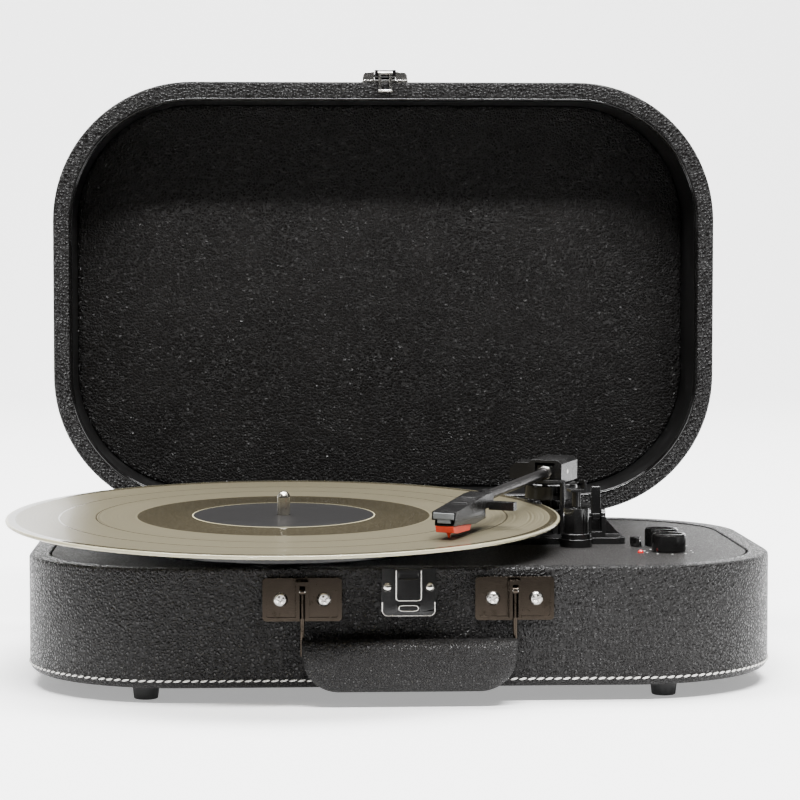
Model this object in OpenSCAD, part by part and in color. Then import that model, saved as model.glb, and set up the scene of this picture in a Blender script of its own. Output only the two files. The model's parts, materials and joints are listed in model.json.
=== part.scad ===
// Portable suitcase record player, lid open, playing a twelve inch record.
// Units are millimetres. X is to the right, Y to the back, Z up, and the feet stand on Z = 0.

/* [Case] */
// Width of the case
case_w = 400; // [360:1:480]
// Depth of the case, front to back
case_d = 261; // [240:1:315]
// Radius of the case corners seen from above
corner_r = 84; // [60:1:100]
// Height of the base from its underside to the rim
body_h = 62; // [58:1:76]
// Height of the rubber feet
foot_h = 8; // [5:0.5:12]
// Thickness of the case walls
wall = 5; // [4:0.5:7]
// Width of the rim round the deck
rim_w = 11; // [9:0.5:14]
// Thickness of the rim round the deck
rim_t = 6; // [4:0.5:8]
// Thickness of the deck panel
deck_t = 3; // [2:0.5:5]
// Gap round the deck panel
deck_gap = 1.2; // [0.5:0.1:2]
// How far the deck lies below the rim
deck_drop = 0.5; // [0.2:0.1:2]
// Thickness of the bottom panel
bottom_t = 3; // [2:0.5:5]

/* [Lid] */
// Outer depth of the lid
lid_h = 60; // [52:1:75]
// Width of the lid rim
lid_rim = 10; // [8:0.5:13]
// Thickness of the lid's flat back
lid_back = 3; // [2:0.5:5]
// Thickness of the padded liner
liner_t = 3.2; // [2:0.2:5]
// Gap between lid and base when shut
lid_gap = 0.6; // [0.4:0.1:1.5]

/* [Hinges] */
// Distance of each hinge from the middle
hinge_x = 95; // [70:1:110]
// Width of each hinge
hinge_w = 30; // [20:1:40]
// Outer radius of the hinge knuckles
knuckle_r = 1.9; // [1.6:0.1:2.4]
// Radius of the hinge pins
hinge_pin_r = 0.75; // [0.6:0.05:1]
// Length of a hinge leaf
leaf_l = 13; // [10:1:16]
// Thickness of a hinge leaf
leaf_t = 1.2; // [0.8:0.1:1.4]

/* [Handle] */
// Distance of each handle bracket from the middle
bracket_x = 54.5; // [45:0.5:65]
// Width of a bracket plate
bracket_w = 40.6; // [32:0.2:48]
// Height of a bracket plate
bracket_h = 22.3; // [19:0.1:27]
// Distance from the rim down to the middle of a bracket
bracket_drop = 15.8; // [13:0.1:19]
// Distance of the bracket screws from the bracket's middle
bracket_screw_x = 11.1; // [9:0.1:14]
// Length of the grip
grip_w = 110; // [95:1:132]
// Height of the grip
grip_h = 26.7; // [22:0.1:32]
// Thickness of the grip
grip_t = 18; // [14:0.5:22]
// Radius of the grip's lower corners
grip_r = 19; // [14:0.5:22]
// Diameter of the handle wire
wire_d = 2.4; // [2:0.1:3]
// Distance from the rim down to the top of the grip
grip_drop = 35.5; // [32:0.5:42]

/* [Latch] */
// Width of the latch plate on the base
latch_w = 27.7; // [22:0.1:33]
// Height of the latch plate on the base
latch_h = 24.8; // [20:0.1:30]
// Width of the raised tongue on the latch plate
tongue_w = 13; // [10:0.5:16]
// Width of the latch lever on the lid
lever_w = 12.6; // [10:0.2:15]
// Length of the latch lever
lever_l = 17; // [14:0.5:21]

/* [Record and platter] */
// Distance of the spindle from the middle, to the left
spindle_left = 63; // [55:1:70]
// Distance of the spindle from the middle, to the front
spindle_front = 31; // [26:1:36]
// Height of the record above the deck at the spindle
seat_h = 16.5; // [15:0.5:22]
// Forward lean of the whole playing mechanism, in degrees
lean = 2.2; // [0:0.1:3]
// Radius of the record
record_r = 151; // [125:1:151]
// Thickness of the record
record_t = 2; // [1.5:0.1:2.5]
// Radius of the record label
label_r = 50; // [45:1:54]
// Radius of the platter
platter_r = 100; // [90:1:110]
// Height of the platter's skirt
platter_h = 8.5; // [7:0.5:10]
// Thickness of the slip mat
mat_t = 1.5; // [1:0.1:2]
// Radius of the spindle
spindle_r = 3.5; // [3.4:0.01:3.6]
// Height of the spindle above the record
spindle_up = 13; // [10:0.5:16]
// Running clearance of shafts, on the radius
run = 0.05; // [0.02:0.01:0.1]
// Radius of the belt track under the platter
track_r = 62; // [50:1:70]
// Radius of the motor pulley
pulley_r = 5; // [4:0.5:7]
// Distance of the motor from the spindle
motor_off = 80; // [76:1:84]
// Radius of the motor
motor_r = 17; // [14:0.5:20]

/* [Tonearm] */
// Distance of the arm pivot from the spindle, to the right
pivot_u = 152; // [150:1:158]
// Distance of the arm pivot from the spindle, to the back
pivot_v = 51; // [45:1:60]
// Direction of the arm while playing, in degrees
arm_angle = -115; // [-120:1:-105]
// Distance from the pivot to the needle
arm_l = 161; // [150:1:170]
// Height of the arm's lift axis above the record's underside
arm_up = 19.4; // [18:0.1:22]
// Radius of the arm tube
tube_r = 2.7; // [2:0.1:3.2]
// Width of the headshell
head_w = 13; // [11:0.5:16]
// Radius of the swing shaft
shaft_r = 3; // [2.5:0.1:4]
// Distance of the armrest from the arm pivot
rest_s = 51; // [46:1:56]
// Swing from playing to the armrest, in degrees
park_angle = 35; // [30:1:38]
// Angle of the cue lift bar's arc, in degrees
lift_arc = 76; // [60:1:84]

/* [Controls] */
// Distance of the knobs from the middle, to the right
knob_x = 145; // [135:1:150]
// Distance of the volume knob from the middle, to the front
volume_front = 58; // [52:1:66]
// Distance of the source knob from the middle, to the front
source_front = 30; // [24:1:36]
// Radius of the knobs
knob_r = 9.2; // [7:0.1:11]
// Height of the knobs
knob_h = 9.5; // [7:0.5:12]

/* [Speakers and electronics] */
// Distance of each speaker from the middle
speaker_x = 105; // [90:1:118]
// Distance of the speakers from the middle, to the front
speaker_front = 50; // [35:1:60]
// Radius of a speaker frame
speaker_r = 32; // [25:1:38]
// Distance of the jack panel from the middle, to the left
jacks_left = 30; // [0:1:45]
// Width of the jack panel
jacks_w = 78; // [66:1:96]
// Height of the jack panel
jacks_h = 22; // [18:1:26]

/* [Hidden] */
$fn = 64;

eps = 0.01;
rim_z = foot_h + body_h;
deck_z = rim_z - deck_drop;
deck_under = deck_z - deck_t;
front_y = -case_d / 2;
grip_top = rim_z - grip_drop;
grip_y = front_y - 1 - grip_t / 2;
back_y = case_d / 2;
floor_z = foot_h + bottom_t;
foot_x = case_w / 2 - corner_r * 0.77;
foot_y = case_d / 2 - corner_r * 0.28;
foot_r = 7.25;
foot_screw_r = 1.6;
post_r = 9;

// The hinge axis runs just behind the back wall, half way up the gap between lid and base.
axis_y = back_y + knuckle_r + 0.1;
axis_z = rim_z + lid_gap / 2;
lid_y = axis_y + lid_gap / 2;
lid_z = axis_z + knuckle_r + 0.1;
lid_top = lid_z + case_d;

spindle_x = -spindle_left;
spindle_y = -spindle_front;
seat_z = deck_z + seat_h;
platter_top = -mat_t;
chassis_t = 3;
chassis_low = -33;
chassis_top = chassis_low + chassis_t;
bearing_r = 8;
motor_angle = 135;
motor_u = motor_off * cos(motor_angle);
motor_v = motor_off * sin(motor_angle);
track_low = platter_top - 3 - 6.5;
needle_gap = 0.3;
arm_drop = 1;

// The footprint of the open machine, used to put the origin under its middle.
left_x = min(-case_w / 2, spindle_x - record_r);
low_y = min(spindle_y - record_r * cos(lean), grip_y - grip_t / 2);
high_y = lid_y + lid_h;
middle = [(left_x + case_w / 2) / 2, (low_y + high_y) / 2, 0];

// Puts a piece into place under its own colour.
module piece(colour) {
  color(colour) translate(-middle) children();
}

// Outline of the case, moved inwards by a distance.
module outline(inset = 0) {
  r = corner_r - inset;
  w = case_w - 2 * inset;
  d = case_d - 2 * inset;
  square([w - 2 * r, d], center = true);
  square([w, d - 2 * r], center = true);
  for (x = [-1, 1], y = [-1, 1])
    translate([x * (w / 2 - r), y * (d / 2 - r)]) circle(r);
}

// A flat plate with round corners, in the X and Y plane.
module plate2d(w, h, r) {
  square([w - 2 * r, h], center = true);
  square([w, h - 2 * r], center = true);
  for (x = [-1, 1], y = [-1, 1])
    translate([x * (w / 2 - r), y * (h / 2 - r)]) circle(r);
}

// Repeats its children at the four feet.
module at_feet() {
  for (x = [-1, 1], y = [-1, 1]) translate([x * foot_x, y * foot_y, 0]) children();
}

// Draws children with Z pointing out of the front face.
module on_front(x, z) {
  translate([x, front_y, z]) rotate([90, 0, 0]) children();
}

// Draws children with Z pointing out of the back face.
module on_back(x, z) {
  translate([x, back_y, z]) rotate([90, 0, 180]) children();
}

// Draws children in the open lid: Z runs into the lid from its rim, and Y points down.
module in_lid() {
  translate([0, lid_y, lid_z + case_d / 2]) rotate([-90, 0, 0]) children();
}

// Frame of the playing mechanism: Z is the spindle's axis and Z = 0 the record's underside.
module mech() {
  translate([spindle_x, spindle_y, seat_z]) rotate([lean, 0, 0]) children();
}

// Frame of the tonearm: X runs from the swing axis to the needle.
module arm_frame(swing = 0) {
  mech() translate([pivot_u, pivot_v, 0]) rotate([0, 0, arm_angle + swing]) children();
}

// Frame of the tube, with its axis as X and the lift axis as Y.
module tube_frame() {
  arm_frame() translate([0, 0, arm_up]) rotate([0, arm_drop, 0]) children();
}

// A round bar between two heights.
module bar(r, low, high) {
  translate([0, 0, low]) cylinder(r = r, h = high - low);
}

// A ring between two heights.
module ring(outer, inner, low, high) {
  difference() {
    bar(outer, low, high);
    bar(inner, low - 1, high + 1);
  }
}

// A box from its lowest to its highest corner.
module block(low, high) {
  translate(low) cube(high - low);
}

// ---------------------------------------------------------------- case

hinge_screw_r = 1;
hinge_screw_l = 5;
bracket_screw_r = 1.5;
bracket_screw_l = 4.5;
rivet_r = 1.2;
rivet_x = 10.8;
rivet_drop = 9.8;
bracket_z = rim_z - bracket_drop;
jack_z = floor_z + jacks_h / 2 + 9;

module base_shell() {
  piece("#1b1a1b") difference() {
    translate([0, 0, foot_h]) linear_extrude(body_h) outline();
    translate([0, 0, foot_h - 1]) linear_extrude(body_h - rim_t + 1) outline(wall);
    translate([0, 0, rim_z - rim_t - 1]) linear_extrude(rim_t + 2) outline(rim_w);
    hinge_base_places() bar(hinge_screw_r, -hinge_screw_l - eps, 1);
    bracket_screw_places() bar(bracket_screw_r, -bracket_screw_l - eps, 1);
    for (x = [-1, 1]) on_front(x * rivet_x, rim_z - rivet_drop) bar(rivet_r, -3 - eps, 1);
    on_back(-jacks_left, jack_z) translate([0, 0, -wall - 1])
      linear_extrude(wall + 2) plate2d(jacks_w - 8, jacks_h - 4, 2);
  }
}

slot_l = 3.2;
module bottom_panel() {
  piece("#202020") difference() {
    translate([0, 0, foot_h]) linear_extrude(bottom_t) outline(wall + 0.2);
    at_feet() bar(foot_screw_r, 0, foot_h + 20);
    for (s = [-1, 1], a = [0:30:330], r = [9, 17])
      translate([s * speaker_x, -speaker_front, 0]) rotate([0, 0, a]) translate([r, 0, 0])
        bar(slot_l / 2, foot_h - 1, floor_z + 1);
  }
}

module corner_posts() {
  piece("#8a6f4d") at_feet() difference() {
    bar(post_r, floor_z, deck_under);
    bar(foot_screw_r, floor_z - 1, floor_z + 14);
  }
}

deck_holes = [[0, 0, 22], [motor_u, motor_v, 7]];
module deck_panel() {
  piece("#232122") difference() {
    translate([0, 0, deck_under]) linear_extrude(deck_t) outline(rim_w + deck_gap);
    mech() for (h = deck_holes) translate([h[0], h[1], 0]) bar(h[2], -30, 0);
    arm_frame() bar(9, -40, 0);
    lift_place() bar(2.6, -40, 0);
    for (f = [volume_front, source_front]) translate([knob_x, -f, 0]) bar(4.2, deck_under - 1, rim_z);
    translate([switch_x, -source_front, 0]) bar(3.2, deck_under - 1, rim_z);
    translate([lamp_x, -lamp_front, 0]) bar(lamp_r, deck_under - 1, rim_z);
  }
}

module rubber_feet() {
  piece("#141414") at_feet() difference() {
    cylinder(r1 = foot_r - 1, r2 = foot_r, h = foot_h);
    bar(3.4, -1, 4);
    bar(foot_screw_r, 3, foot_h + 1);
  }
}

module foot_screws() {
  piece("#9a9a9c") at_feet() difference() {
    union() {
      bar(foot_screw_r, 3.5, floor_z + 13);
      bar(3, 1.6, 4);
    }
    for (a = [0, 90]) rotate([0, 0, a]) block([-2, -0.4, 1], [2, 0.4, 2.6]);
  }
}

// ---------------------------------------------------------------- lid

module lid_shell() {
  piece("#1b1a1b") difference() {
    in_lid() linear_extrude(lid_h) outline();
    in_lid() translate([0, 0, -1]) linear_extrude(lid_h - lid_back + 1) outline(lid_rim);
    hinge_lid_places() bar(hinge_screw_r, -hinge_screw_l - eps, 1);
    for (x = [-1, 1]) lid_latch_frame() translate([x * latch_screw_x, latch_screw_y, 0])
      bar(1, -4 - eps, 1);
  }
}

module lid_liner() {
  piece("#252223") in_lid() translate([0, 0, lid_h - lid_back - liner_t])
    linear_extrude(liner_t) outline(lid_rim + 1.2);
}

module lid_trim() {
  piece("#111111") in_lid() translate([0, 0, 0.4]) linear_extrude(3.6) difference() {
    outline(lid_rim);
    outline(lid_rim + 1.1);
  }
}

// ---------------------------------------------------------------- hinges

knuckle_n = 3;
knuckle_l = hinge_w / knuckle_n;
leaf_hole_x = 10;
leaf_mid = knuckle_r + 0.4 + leaf_l / 2;

module hinge_base_places() {
  for (s = [-1, 1], x = [-1, 1]) on_back(s * hinge_x + x * leaf_hole_x, axis_z - leaf_mid) children();
}

module hinge_lid_places() {
  for (s = [-1, 1], x = [-1, 1])
    translate([s * hinge_x + x * leaf_hole_x, axis_y + leaf_mid, lid_z]) rotate([180, 0, 0]) children();
}

// One hinge leaf lying in the X and Y plane, with its knuckles round the X axis at Y = 0.
module leaf(own, bore) {
  flat = -knuckle_r - 0.1;
  difference() {
    union() {
      block([-hinge_w / 2, knuckle_r + 0.4, flat], [hinge_w / 2, knuckle_r + 0.4 + leaf_l, flat + leaf_t]);
      for (i = own) translate([-hinge_w / 2 + i * knuckle_l, 0, 0]) {
        block([0.15, 0, flat + 0.1], [knuckle_l - 0.15, knuckle_r + 1, flat + leaf_t]);
        translate([0.15, 0, 0]) rotate([0, 90, 0]) bar(knuckle_r, 0, knuckle_l - 0.3);
      }
    }
    translate([-hinge_w, 0, 0]) rotate([0, 90, 0]) bar(bore, 0, 2 * hinge_w);
    for (x = [-1, 1]) translate([x * leaf_hole_x, leaf_mid, 0]) bar(hinge_screw_r, flat - 1, flat + 3);
  }
}

module hinge_base_leaves() {
  piece("#4a4642") for (s = [-1, 1])
    translate([s * hinge_x, axis_y, axis_z]) rotate([-90, 0, 0]) leaf([0, 2], hinge_pin_r);
}

module hinge_lid_leaves() {
  piece("#4a4642") for (s = [-1, 1])
    translate([s * hinge_x, axis_y, axis_z]) mirror([0, 0, 1]) leaf([1], hinge_pin_r + run);
}

module hinge_pins() {
  piece("#77736d") for (s = [-1, 1])
    translate([s * hinge_x - hinge_w / 2, axis_y, axis_z]) rotate([0, 90, 0]) bar(hinge_pin_r, 0, hinge_w);
}

module flat_screw(r, l, head_r, lift) {
  difference() {
    union() {
      bar(r, -l, lift + 0.2);
      bar(head_r, lift, lift + 0.9);
    }
    for (a = [0, 90]) rotate([0, 0, a]) block([-head_r * 0.6, -0.25, lift + 0.45], [head_r * 0.6, 0.25, lift + 2]);
  }
}

module hinge_base_screws() {
  piece("#8d8a86") hinge_base_places() flat_screw(hinge_screw_r, hinge_screw_l, 2, leaf_t);
}

module hinge_lid_screws() {
  piece("#8d8a86") hinge_lid_places() flat_screw(hinge_screw_r, hinge_screw_l, 2, leaf_t);
}

// ---------------------------------------------------------------- handle

plate_t = 1.4;
ear_gap = wire_d + 0.6;
ear_w = 1.7;
ear_out = 7.2;
handle_out = 4.8;
handle_z = bracket_z + 4.5;
bracket_pin_r = 0.9;

module bracket_screw_places() {
  for (s = [-1, 1], x = [-1, 1]) on_front(s * bracket_x + x * bracket_screw_x, bracket_z) children();
}

module handle_brackets() {
  piece("#5b5752") for (s = [-1, 1]) on_front(s * bracket_x, bracket_z) difference() {
    union() {
      linear_extrude(plate_t) plate2d(bracket_w, bracket_h, 2);
      linear_extrude(plate_t + 0.8) difference() {
        plate2d(bracket_w, bracket_h, 2);
        plate2d(bracket_w - 4, bracket_h - 4, 1.2);
      }
      for (e = [-1, 1]) translate([e * (ear_gap + ear_w) / 2, 0, ear_out / 2])
        cube([ear_w, bracket_h - 3, ear_out], center = true);
      block([-ear_gap / 2 - ear_w, bracket_h / 2 - 3.5, 0], [ear_gap / 2 + ear_w, bracket_h / 2 - 1.5, ear_out]);
    }
    translate([-bracket_w, handle_z - bracket_z, handle_out]) rotate([0, 90, 0])
      bar(bracket_pin_r, 0, 2 * bracket_w);
    for (x = [-1, 1]) translate([x * bracket_screw_x, 0, 0]) bar(bracket_screw_r, -1, 4);
  }
}

module bracket_pins() {
  piece("#8d8a86") for (s = [-1, 1])
    translate([s * bracket_x - ear_gap / 2 - ear_w, front_y - handle_out, handle_z])
      rotate([0, 90, 0]) bar(bracket_pin_r, 0, ear_gap + 2 * ear_w);
}

module bracket_screws() {
  piece("#b5b2ad") bracket_screw_places() difference() {
    union() {
      bar(bracket_screw_r, -bracket_screw_l, plate_t + 0.5);
      translate([0, 0, plate_t]) cylinder(r1 = 3.75, r2 = 2.6, h = 1.5);
    }
    for (a = [0, 90]) rotate([0, 0, a + 20]) block([-1.9, -0.45, plate_t + 0.7], [1.9, 0.45, plate_t + 3]);
  }
}

grip_sink = 9;
module handle_wires() {
  piece("#6b6660") for (s = [-1, 1]) translate([s * bracket_x, front_y - handle_out, handle_z]) difference() {
    union() {
      bar(wire_d / 2, grip_top - grip_sink - handle_z, 0);
      rotate([0, 90, 0]) bar(2, -wire_d / 2, wire_d / 2);
    }
    rotate([0, 90, 0]) bar(bracket_pin_r + run, -9, 9);
  }
}

module grip_outline() {
  side = grip_w - 2 * grip_r;
  translate([-side / 2, -grip_h]) square([side, grip_h]);
  translate([-grip_w / 2, -grip_h + grip_r]) square([grip_w, grip_h - grip_r]);
  intersection() {
    for (s = [-1, 1]) translate([s * side / 2, -grip_h + grip_r]) circle(grip_r);
    translate([-grip_w / 2, -grip_h]) square([grip_w, grip_h]);
  }
}

module handle_grip() {
  piece("#1d1b1c") difference() {
    translate([0, grip_y, grip_top]) rotate([90, 0, 0]) translate([0, 0, -grip_t / 2])
      linear_extrude(grip_t) grip_outline();
    for (s = [-1, 1]) translate([s * bracket_x, front_y - handle_out, grip_top])
      bar(wire_d / 2, -grip_sink, 1);
    for (s = [-1, 1]) translate([s * (grip_w / 2 + 0.2), front_y - handle_out, grip_top])
      block([-1, -wire_d, -0.2], [1, wire_d, 1]);
  }
}

// ---------------------------------------------------------------- latch

module latch_plate() {
  piece("#24211f") on_front(0, rim_z) difference() {
    union() {
      translate([0, -latch_h / 2, 0]) linear_extrude(plate_t) union() {
        plate2d(latch_w, latch_h, 3);
        translate([-latch_w / 2, 0]) square([latch_w, latch_h / 2]);
      }
      translate([-tongue_w / 2, -16.6, 0]) cube([tongue_w, 15.8, plate_t + 1.8]);
      translate([-6, -22.5, 0]) cube([12, 3.5, plate_t + 0.6]);
    }
    translate([-5, -5.5, plate_t]) cube([10, 3, 4]);
    for (x = [-1, 1]) translate([x * rivet_x, -rivet_drop, 0]) bar(rivet_r, -1, 4);
  }
}

module latch_rivets() {
  piece("#c3c0bb") for (x = [-1, 1]) on_front(x * rivet_x, rim_z - rivet_drop) union() {
    bar(rivet_r, -3, plate_t + 0.5);
    intersection() {
      translate([0, 0, plate_t - 1.2]) sphere(r = 2.75);
      bar(3, plate_t, plate_t + 3);
    }
  }
}

latch_pin_y = 5;
latch_pin_z = 3.9;
latch_pin_r = 0.9;
latch_screw_x = 10.5;
latch_screw_y = 15;
loop_r = 0.9;
loop_w = 8.2;
loop_y = -1.9;
loop_z = 5.2;

// Frame on the lid's outer front wall, which faces up while the lid is open; Y runs to its back.
module lid_latch_frame() {
  translate([0, lid_y, lid_top]) children();
}

module lid_latch_base() {
  piece("#b9b6b0") lid_latch_frame() union() {
    difference() {
      union() {
        block([-13.7, 0.6, 0], [13.7, 20, 1.2]);
        for (s = [-1, 1]) translate([s * (lever_w / 2 + 1.1), 0, 0])
          block([-0.8, 1.6, 1], [0.8, 8.4, 6.2]);
        translate([0, 2.8, 0]) rotate([90, 0, 0]) linear_extrude(1.2) for (s = [-1, 1])
          polygon([[s * 13.7, 0.5], [s * 13.2, 4.2], [s * 12, 5.8], [s * (lever_w / 2 + 1), 5.8],
            [s * (lever_w / 2 + 1), 0.5]]);
      }
      translate([-20, latch_pin_y, latch_pin_z]) rotate([0, 90, 0]) bar(latch_pin_r + run, 0, 40);
    }
    for (x = [-1, 1]) translate([x * latch_screw_x, latch_screw_y, 0]) {
      bar(1, -4, 0.5);
      bar(1.9, 1, 2);
    }
  }
}

module latch_lever() {
  piece("#1c1b1b") lid_latch_frame() difference() {
    union() {
      block([-lever_w / 2, latch_pin_y, 5.4], [lever_w / 2, latch_pin_y + lever_l - 5, 7.4]);
      block([-lever_w / 2, loop_y - 1.8, 3.4], [lever_w / 2, latch_pin_y + 1, 7]);
      translate([0, latch_pin_y, latch_pin_z]) rotate([0, 90, 0]) bar(2.4, -lever_w / 2, lever_w / 2);
      translate([0, latch_pin_y, latch_pin_z]) rotate([0, 90, 0])
        bar(latch_pin_r, -lever_w / 2 - 1.7, lever_w / 2 + 1.7);
    }
    block([-loop_w / 2 - 0.3, loop_y - 3, 0], [loop_w / 2 + 0.3, loop_y + 1.6, 9]);
    translate([-lever_w, loop_y, loop_z]) rotate([0, 90, 0]) bar(loop_r + run, 0, 2 * lever_w);
  }
}

loop_drop = 10.6;
module latch_loop() {
  piece("#c9c6c0") lid_latch_frame() translate([0, loop_y, loop_z]) union() {
    for (s = [-1, 1]) translate([s * (loop_w / 2 - loop_r), 0, 0]) bar(loop_r, -loop_drop, 0);
    translate([0, 0, -loop_drop]) rotate([0, 90, 0]) bar(loop_r, -loop_w / 2, loop_w / 2);
    rotate([0, 90, 0]) bar(loop_r, -lever_w / 2, lever_w / 2);
  }
}

// ---------------------------------------------------------------- drive

mount_places = [[-70, -50], [-70, 66], [112, -50], [104, 66]];
mount_r = 6;
mount_screw_r = 1.5;
arm_bearing_r = 6;
lift_r = 18;
lift_post_r = 1.5;
lift_bar_w = 3.6;
lift_bar_t = 1.6;
lift_post_angle = 40;

module lift_place() {
  arm_frame() rotate([0, 0, lift_post_angle]) translate([lift_r, 0, 0]) children();
}

module sub_chassis() {
  left = motor_u - 30;
  right = pivot_u + 20;
  low = -65;
  high = 80;
  piece("#3a3b3d") difference() {
    mech() translate([(left + right) / 2, (low + high) / 2, chassis_low])
      linear_extrude(chassis_t) plate2d(right - left, high - low, 14);
    mech() bar(bearing_r, chassis_low - 1, chassis_top + 1);
    mech() translate([motor_u, motor_v, 0]) bar(4, chassis_low - 1, chassis_top + 1);
    mech() for (p = mount_places) translate(p) bar(mount_screw_r, chassis_low - 1, chassis_top + 1);
    arm_frame() bar(arm_bearing_r, chassis_low - 1, chassis_top + 1);
    lift_place() bar(lift_post_r + run, chassis_low - 1, chassis_top + 1);
  }
}

module isolation_mounts() {
  piece("#262626") difference() {
    mech() for (p = mount_places) translate(p) ring(mount_r, mount_screw_r, chassis_top, 0);
    translate([0, 0, deck_under]) linear_extrude(60) outline();
  }
}

bearing_low = -52;
bearing_top = -8.5;
module platter_bearing() {
  piece("#8c8f93") mech() difference() {
    union() {
      bar(bearing_r, bearing_low, bearing_top);
      bar(bearing_r + 6, chassis_top, chassis_top + 3);
    }
    bar(spindle_r + run, bearing_low + 1.8, 0);
  }
}

module platter() {
  disc_low = platter_top - 3;
  piece("#26282b") mech() rotate_extrude() polygon([
    [spindle_r, platter_top], [platter_r, platter_top], [platter_r, platter_top - platter_h],
    [platter_r - 2.5, platter_top - platter_h], [platter_r - 2.5, disc_low], [track_r, disc_low],
    [track_r, track_low], [track_r - 2.5, track_low], [track_r - 2.5, disc_low], [10, disc_low],
    [10, bearing_top + 0.5], [spindle_r, bearing_top + 0.5]
  ]);
}

module slip_mat() {
  piece("#17181a") mech() ring(platter_r - 2, spindle_r, platter_top, 0);
}

// A shallow groove at the foot of the spindle's free end, just above the record.
groove_low = record_t + 0.2;
groove_h = 0.8;
module spindle() {
  dome = record_t + spindle_up - spindle_r;
  piece("#c9c2b2") mech() union() {
    bar(spindle_r, bearing_low + 1.9, groove_low);
    bar(spindle_r - 0.4, groove_low - 1, groove_low + groove_h + 1);
    bar(spindle_r, groove_low + groove_h, dome);
    translate([0, 0, dome]) sphere(r = spindle_r);
  }
}

motor_shaft_r = 1;
motor_l = 28;
pulley_low = track_low + 0.6;
pulley_h = 4.2;
flange_t = 0.6;

module motor() {
  piece("#9b9da0") mech() translate([motor_u, motor_v, 0]) difference() {
    union() {
      bar(motor_r, chassis_low - motor_l, chassis_low);
      bar(4, chassis_low - 1, chassis_top + 0.5);
    }
    bar(motor_shaft_r + run, chassis_low - motor_l + 1, 0);
  }
}

module motor_pulley() {
  piece("#b7a46a") mech() translate([motor_u, motor_v, 0]) union() {
    bar(motor_shaft_r, chassis_low - motor_l + 1.2, pulley_low + pulley_h);
    bar(pulley_r, pulley_low, pulley_low + pulley_h);
    bar(pulley_r + 1.2, pulley_low - flange_t, pulley_low);
    bar(pulley_r + 1.2, pulley_low + pulley_h, pulley_low + pulley_h + flange_t);
  }
}

belt_gap = 0.35;
belt_t = 0.8;
module belt_outline(grow) {
  hull() {
    circle(track_r + grow, $fn = 96);
    translate([motor_u, motor_v]) circle(pulley_r + grow, $fn = 48);
  }
}

module drive_belt() {
  piece("#0f0f0f") mech() translate([0, 0, pulley_low + 0.6]) linear_extrude(pulley_h - 1.2) difference() {
    belt_outline(belt_gap + belt_t);
    belt_outline(belt_gap);
  }
}

record_hole_r = spindle_r + 0.1;
label_t = 0.2;
module record_disc() {
  top = record_t;
  low = top - label_t;
  piece("#8f8a68") mech() rotate_extrude() polygon([
    [record_hole_r, 0], [record_r - 1, 0], [record_r, 0.5], [record_r, top - 0.5], [record_r - 1, top],
    [record_r - 5, top], [record_r - 6, low], [label_r + 8, low], [label_r + 6, top], [label_r, top],
    [label_r, low], [record_hole_r, low]
  ]);
}

module record_label() {
  piece("#101010") mech() ring(label_r, record_hole_r, record_t - label_t, record_t);
}

// ---------------------------------------------------------------- tonearm

pivot_x = spindle_x + pivot_u;
pivot_y = spindle_y + pivot_v;
base_left = pivot_x - 32;
base_right = pivot_x + 38;
base_front = pivot_y - 40;
base_back = pivot_y + 42;
base_t = 3.5;
hump_h = 18.5;
flange_low = 4.2;
flange_top = 13.2;
housing_low = 13.6;
housing_high = 26.6;
cavity_low = 15;
cavity_high = 25;

module tonearm_base() {
  low = deck_z + base_t;
  piece("#1d1d1e") difference() {
    union() {
      translate([(base_left + base_right) / 2, (base_front + base_back) / 2, deck_z])
        linear_extrude(base_t) plate2d(base_right - base_left, base_back - base_front, 5);
      translate([pivot_x, pivot_y + 24, deck_z]) rotate([90, 0, 0]) linear_extrude(42) polygon([
        [-0.5, 0], [-0.5, hump_h - 2], [14, hump_h], [24, hump_h - 1], [37, base_t], [37, 0]
      ]);
    }
    arm_frame() bar(9, -40, flange_low);
    lift_place() bar(2.6, -40, flange_low);
  }
}

module arm_bearing() {
  piece("#1a1a1b") arm_frame() difference() {
    union() {
      bar(arm_bearing_r, chassis_low, flange_low + 1);
      bar(15, flange_low, flange_top - 1);
      translate([0, 0, flange_top - 1]) cylinder(r1 = 15, r2 = 14, h = 1);
    }
    bar(shaft_r + run, chassis_low - 1, flange_top + 1);
  }
}

module swing_shaft() {
  piece("#a7a9ac") arm_frame() union() {
    bar(shaft_r, chassis_low - 3, cavity_low);
    bar(shaft_r + 2, chassis_low - 3, chassis_low - 0.3);
  }
}

lift_pin_r = 1.2;
wall_in = 5.8;
wall_out = 10;

module arm_housing() {
  bevel = 2;
  piece("#19191a") arm_frame() difference() {
    union() {
      translate([11, 0, 0]) rotate([90, 0, -90]) linear_extrude(28) polygon([
        [-wall_out, housing_low], [-wall_out, housing_high - bevel], [bevel - wall_out, housing_high],
        [wall_out - bevel, housing_high], [wall_out, housing_high - bevel], [wall_out, housing_low]
      ]);
      translate([-3, 0, 0]) rotate([90, 0, -90]) linear_extrude(16) polygon([
        [26, housing_low], [26, housing_low + 6], [22.5, housing_low + 9.4], [wall_in + 1, housing_low + 9.4],
        [wall_in + 1, housing_low]
      ]);
    }
    block([-14, -wall_in, cavity_low], [12, wall_in, cavity_high]);
    translate([0, 0, arm_up]) rotate([90, 0, 0]) bar(lift_pin_r, -wall_out - 1, wall_out + 1);
    bar(shaft_r, housing_low - 1, cavity_low + 1);
  }
}

module lift_pin() {
  piece("#a7a9ac") arm_frame() translate([0, 0, arm_up]) rotate([90, 0, 0])
    bar(lift_pin_r, -wall_out, wall_out);
}

tube_start = 9;
tube_end = arm_l - 47;
module along_x(r, low, high) {
  rotate([0, 90, 0]) bar(r, low, high);
}

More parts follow.
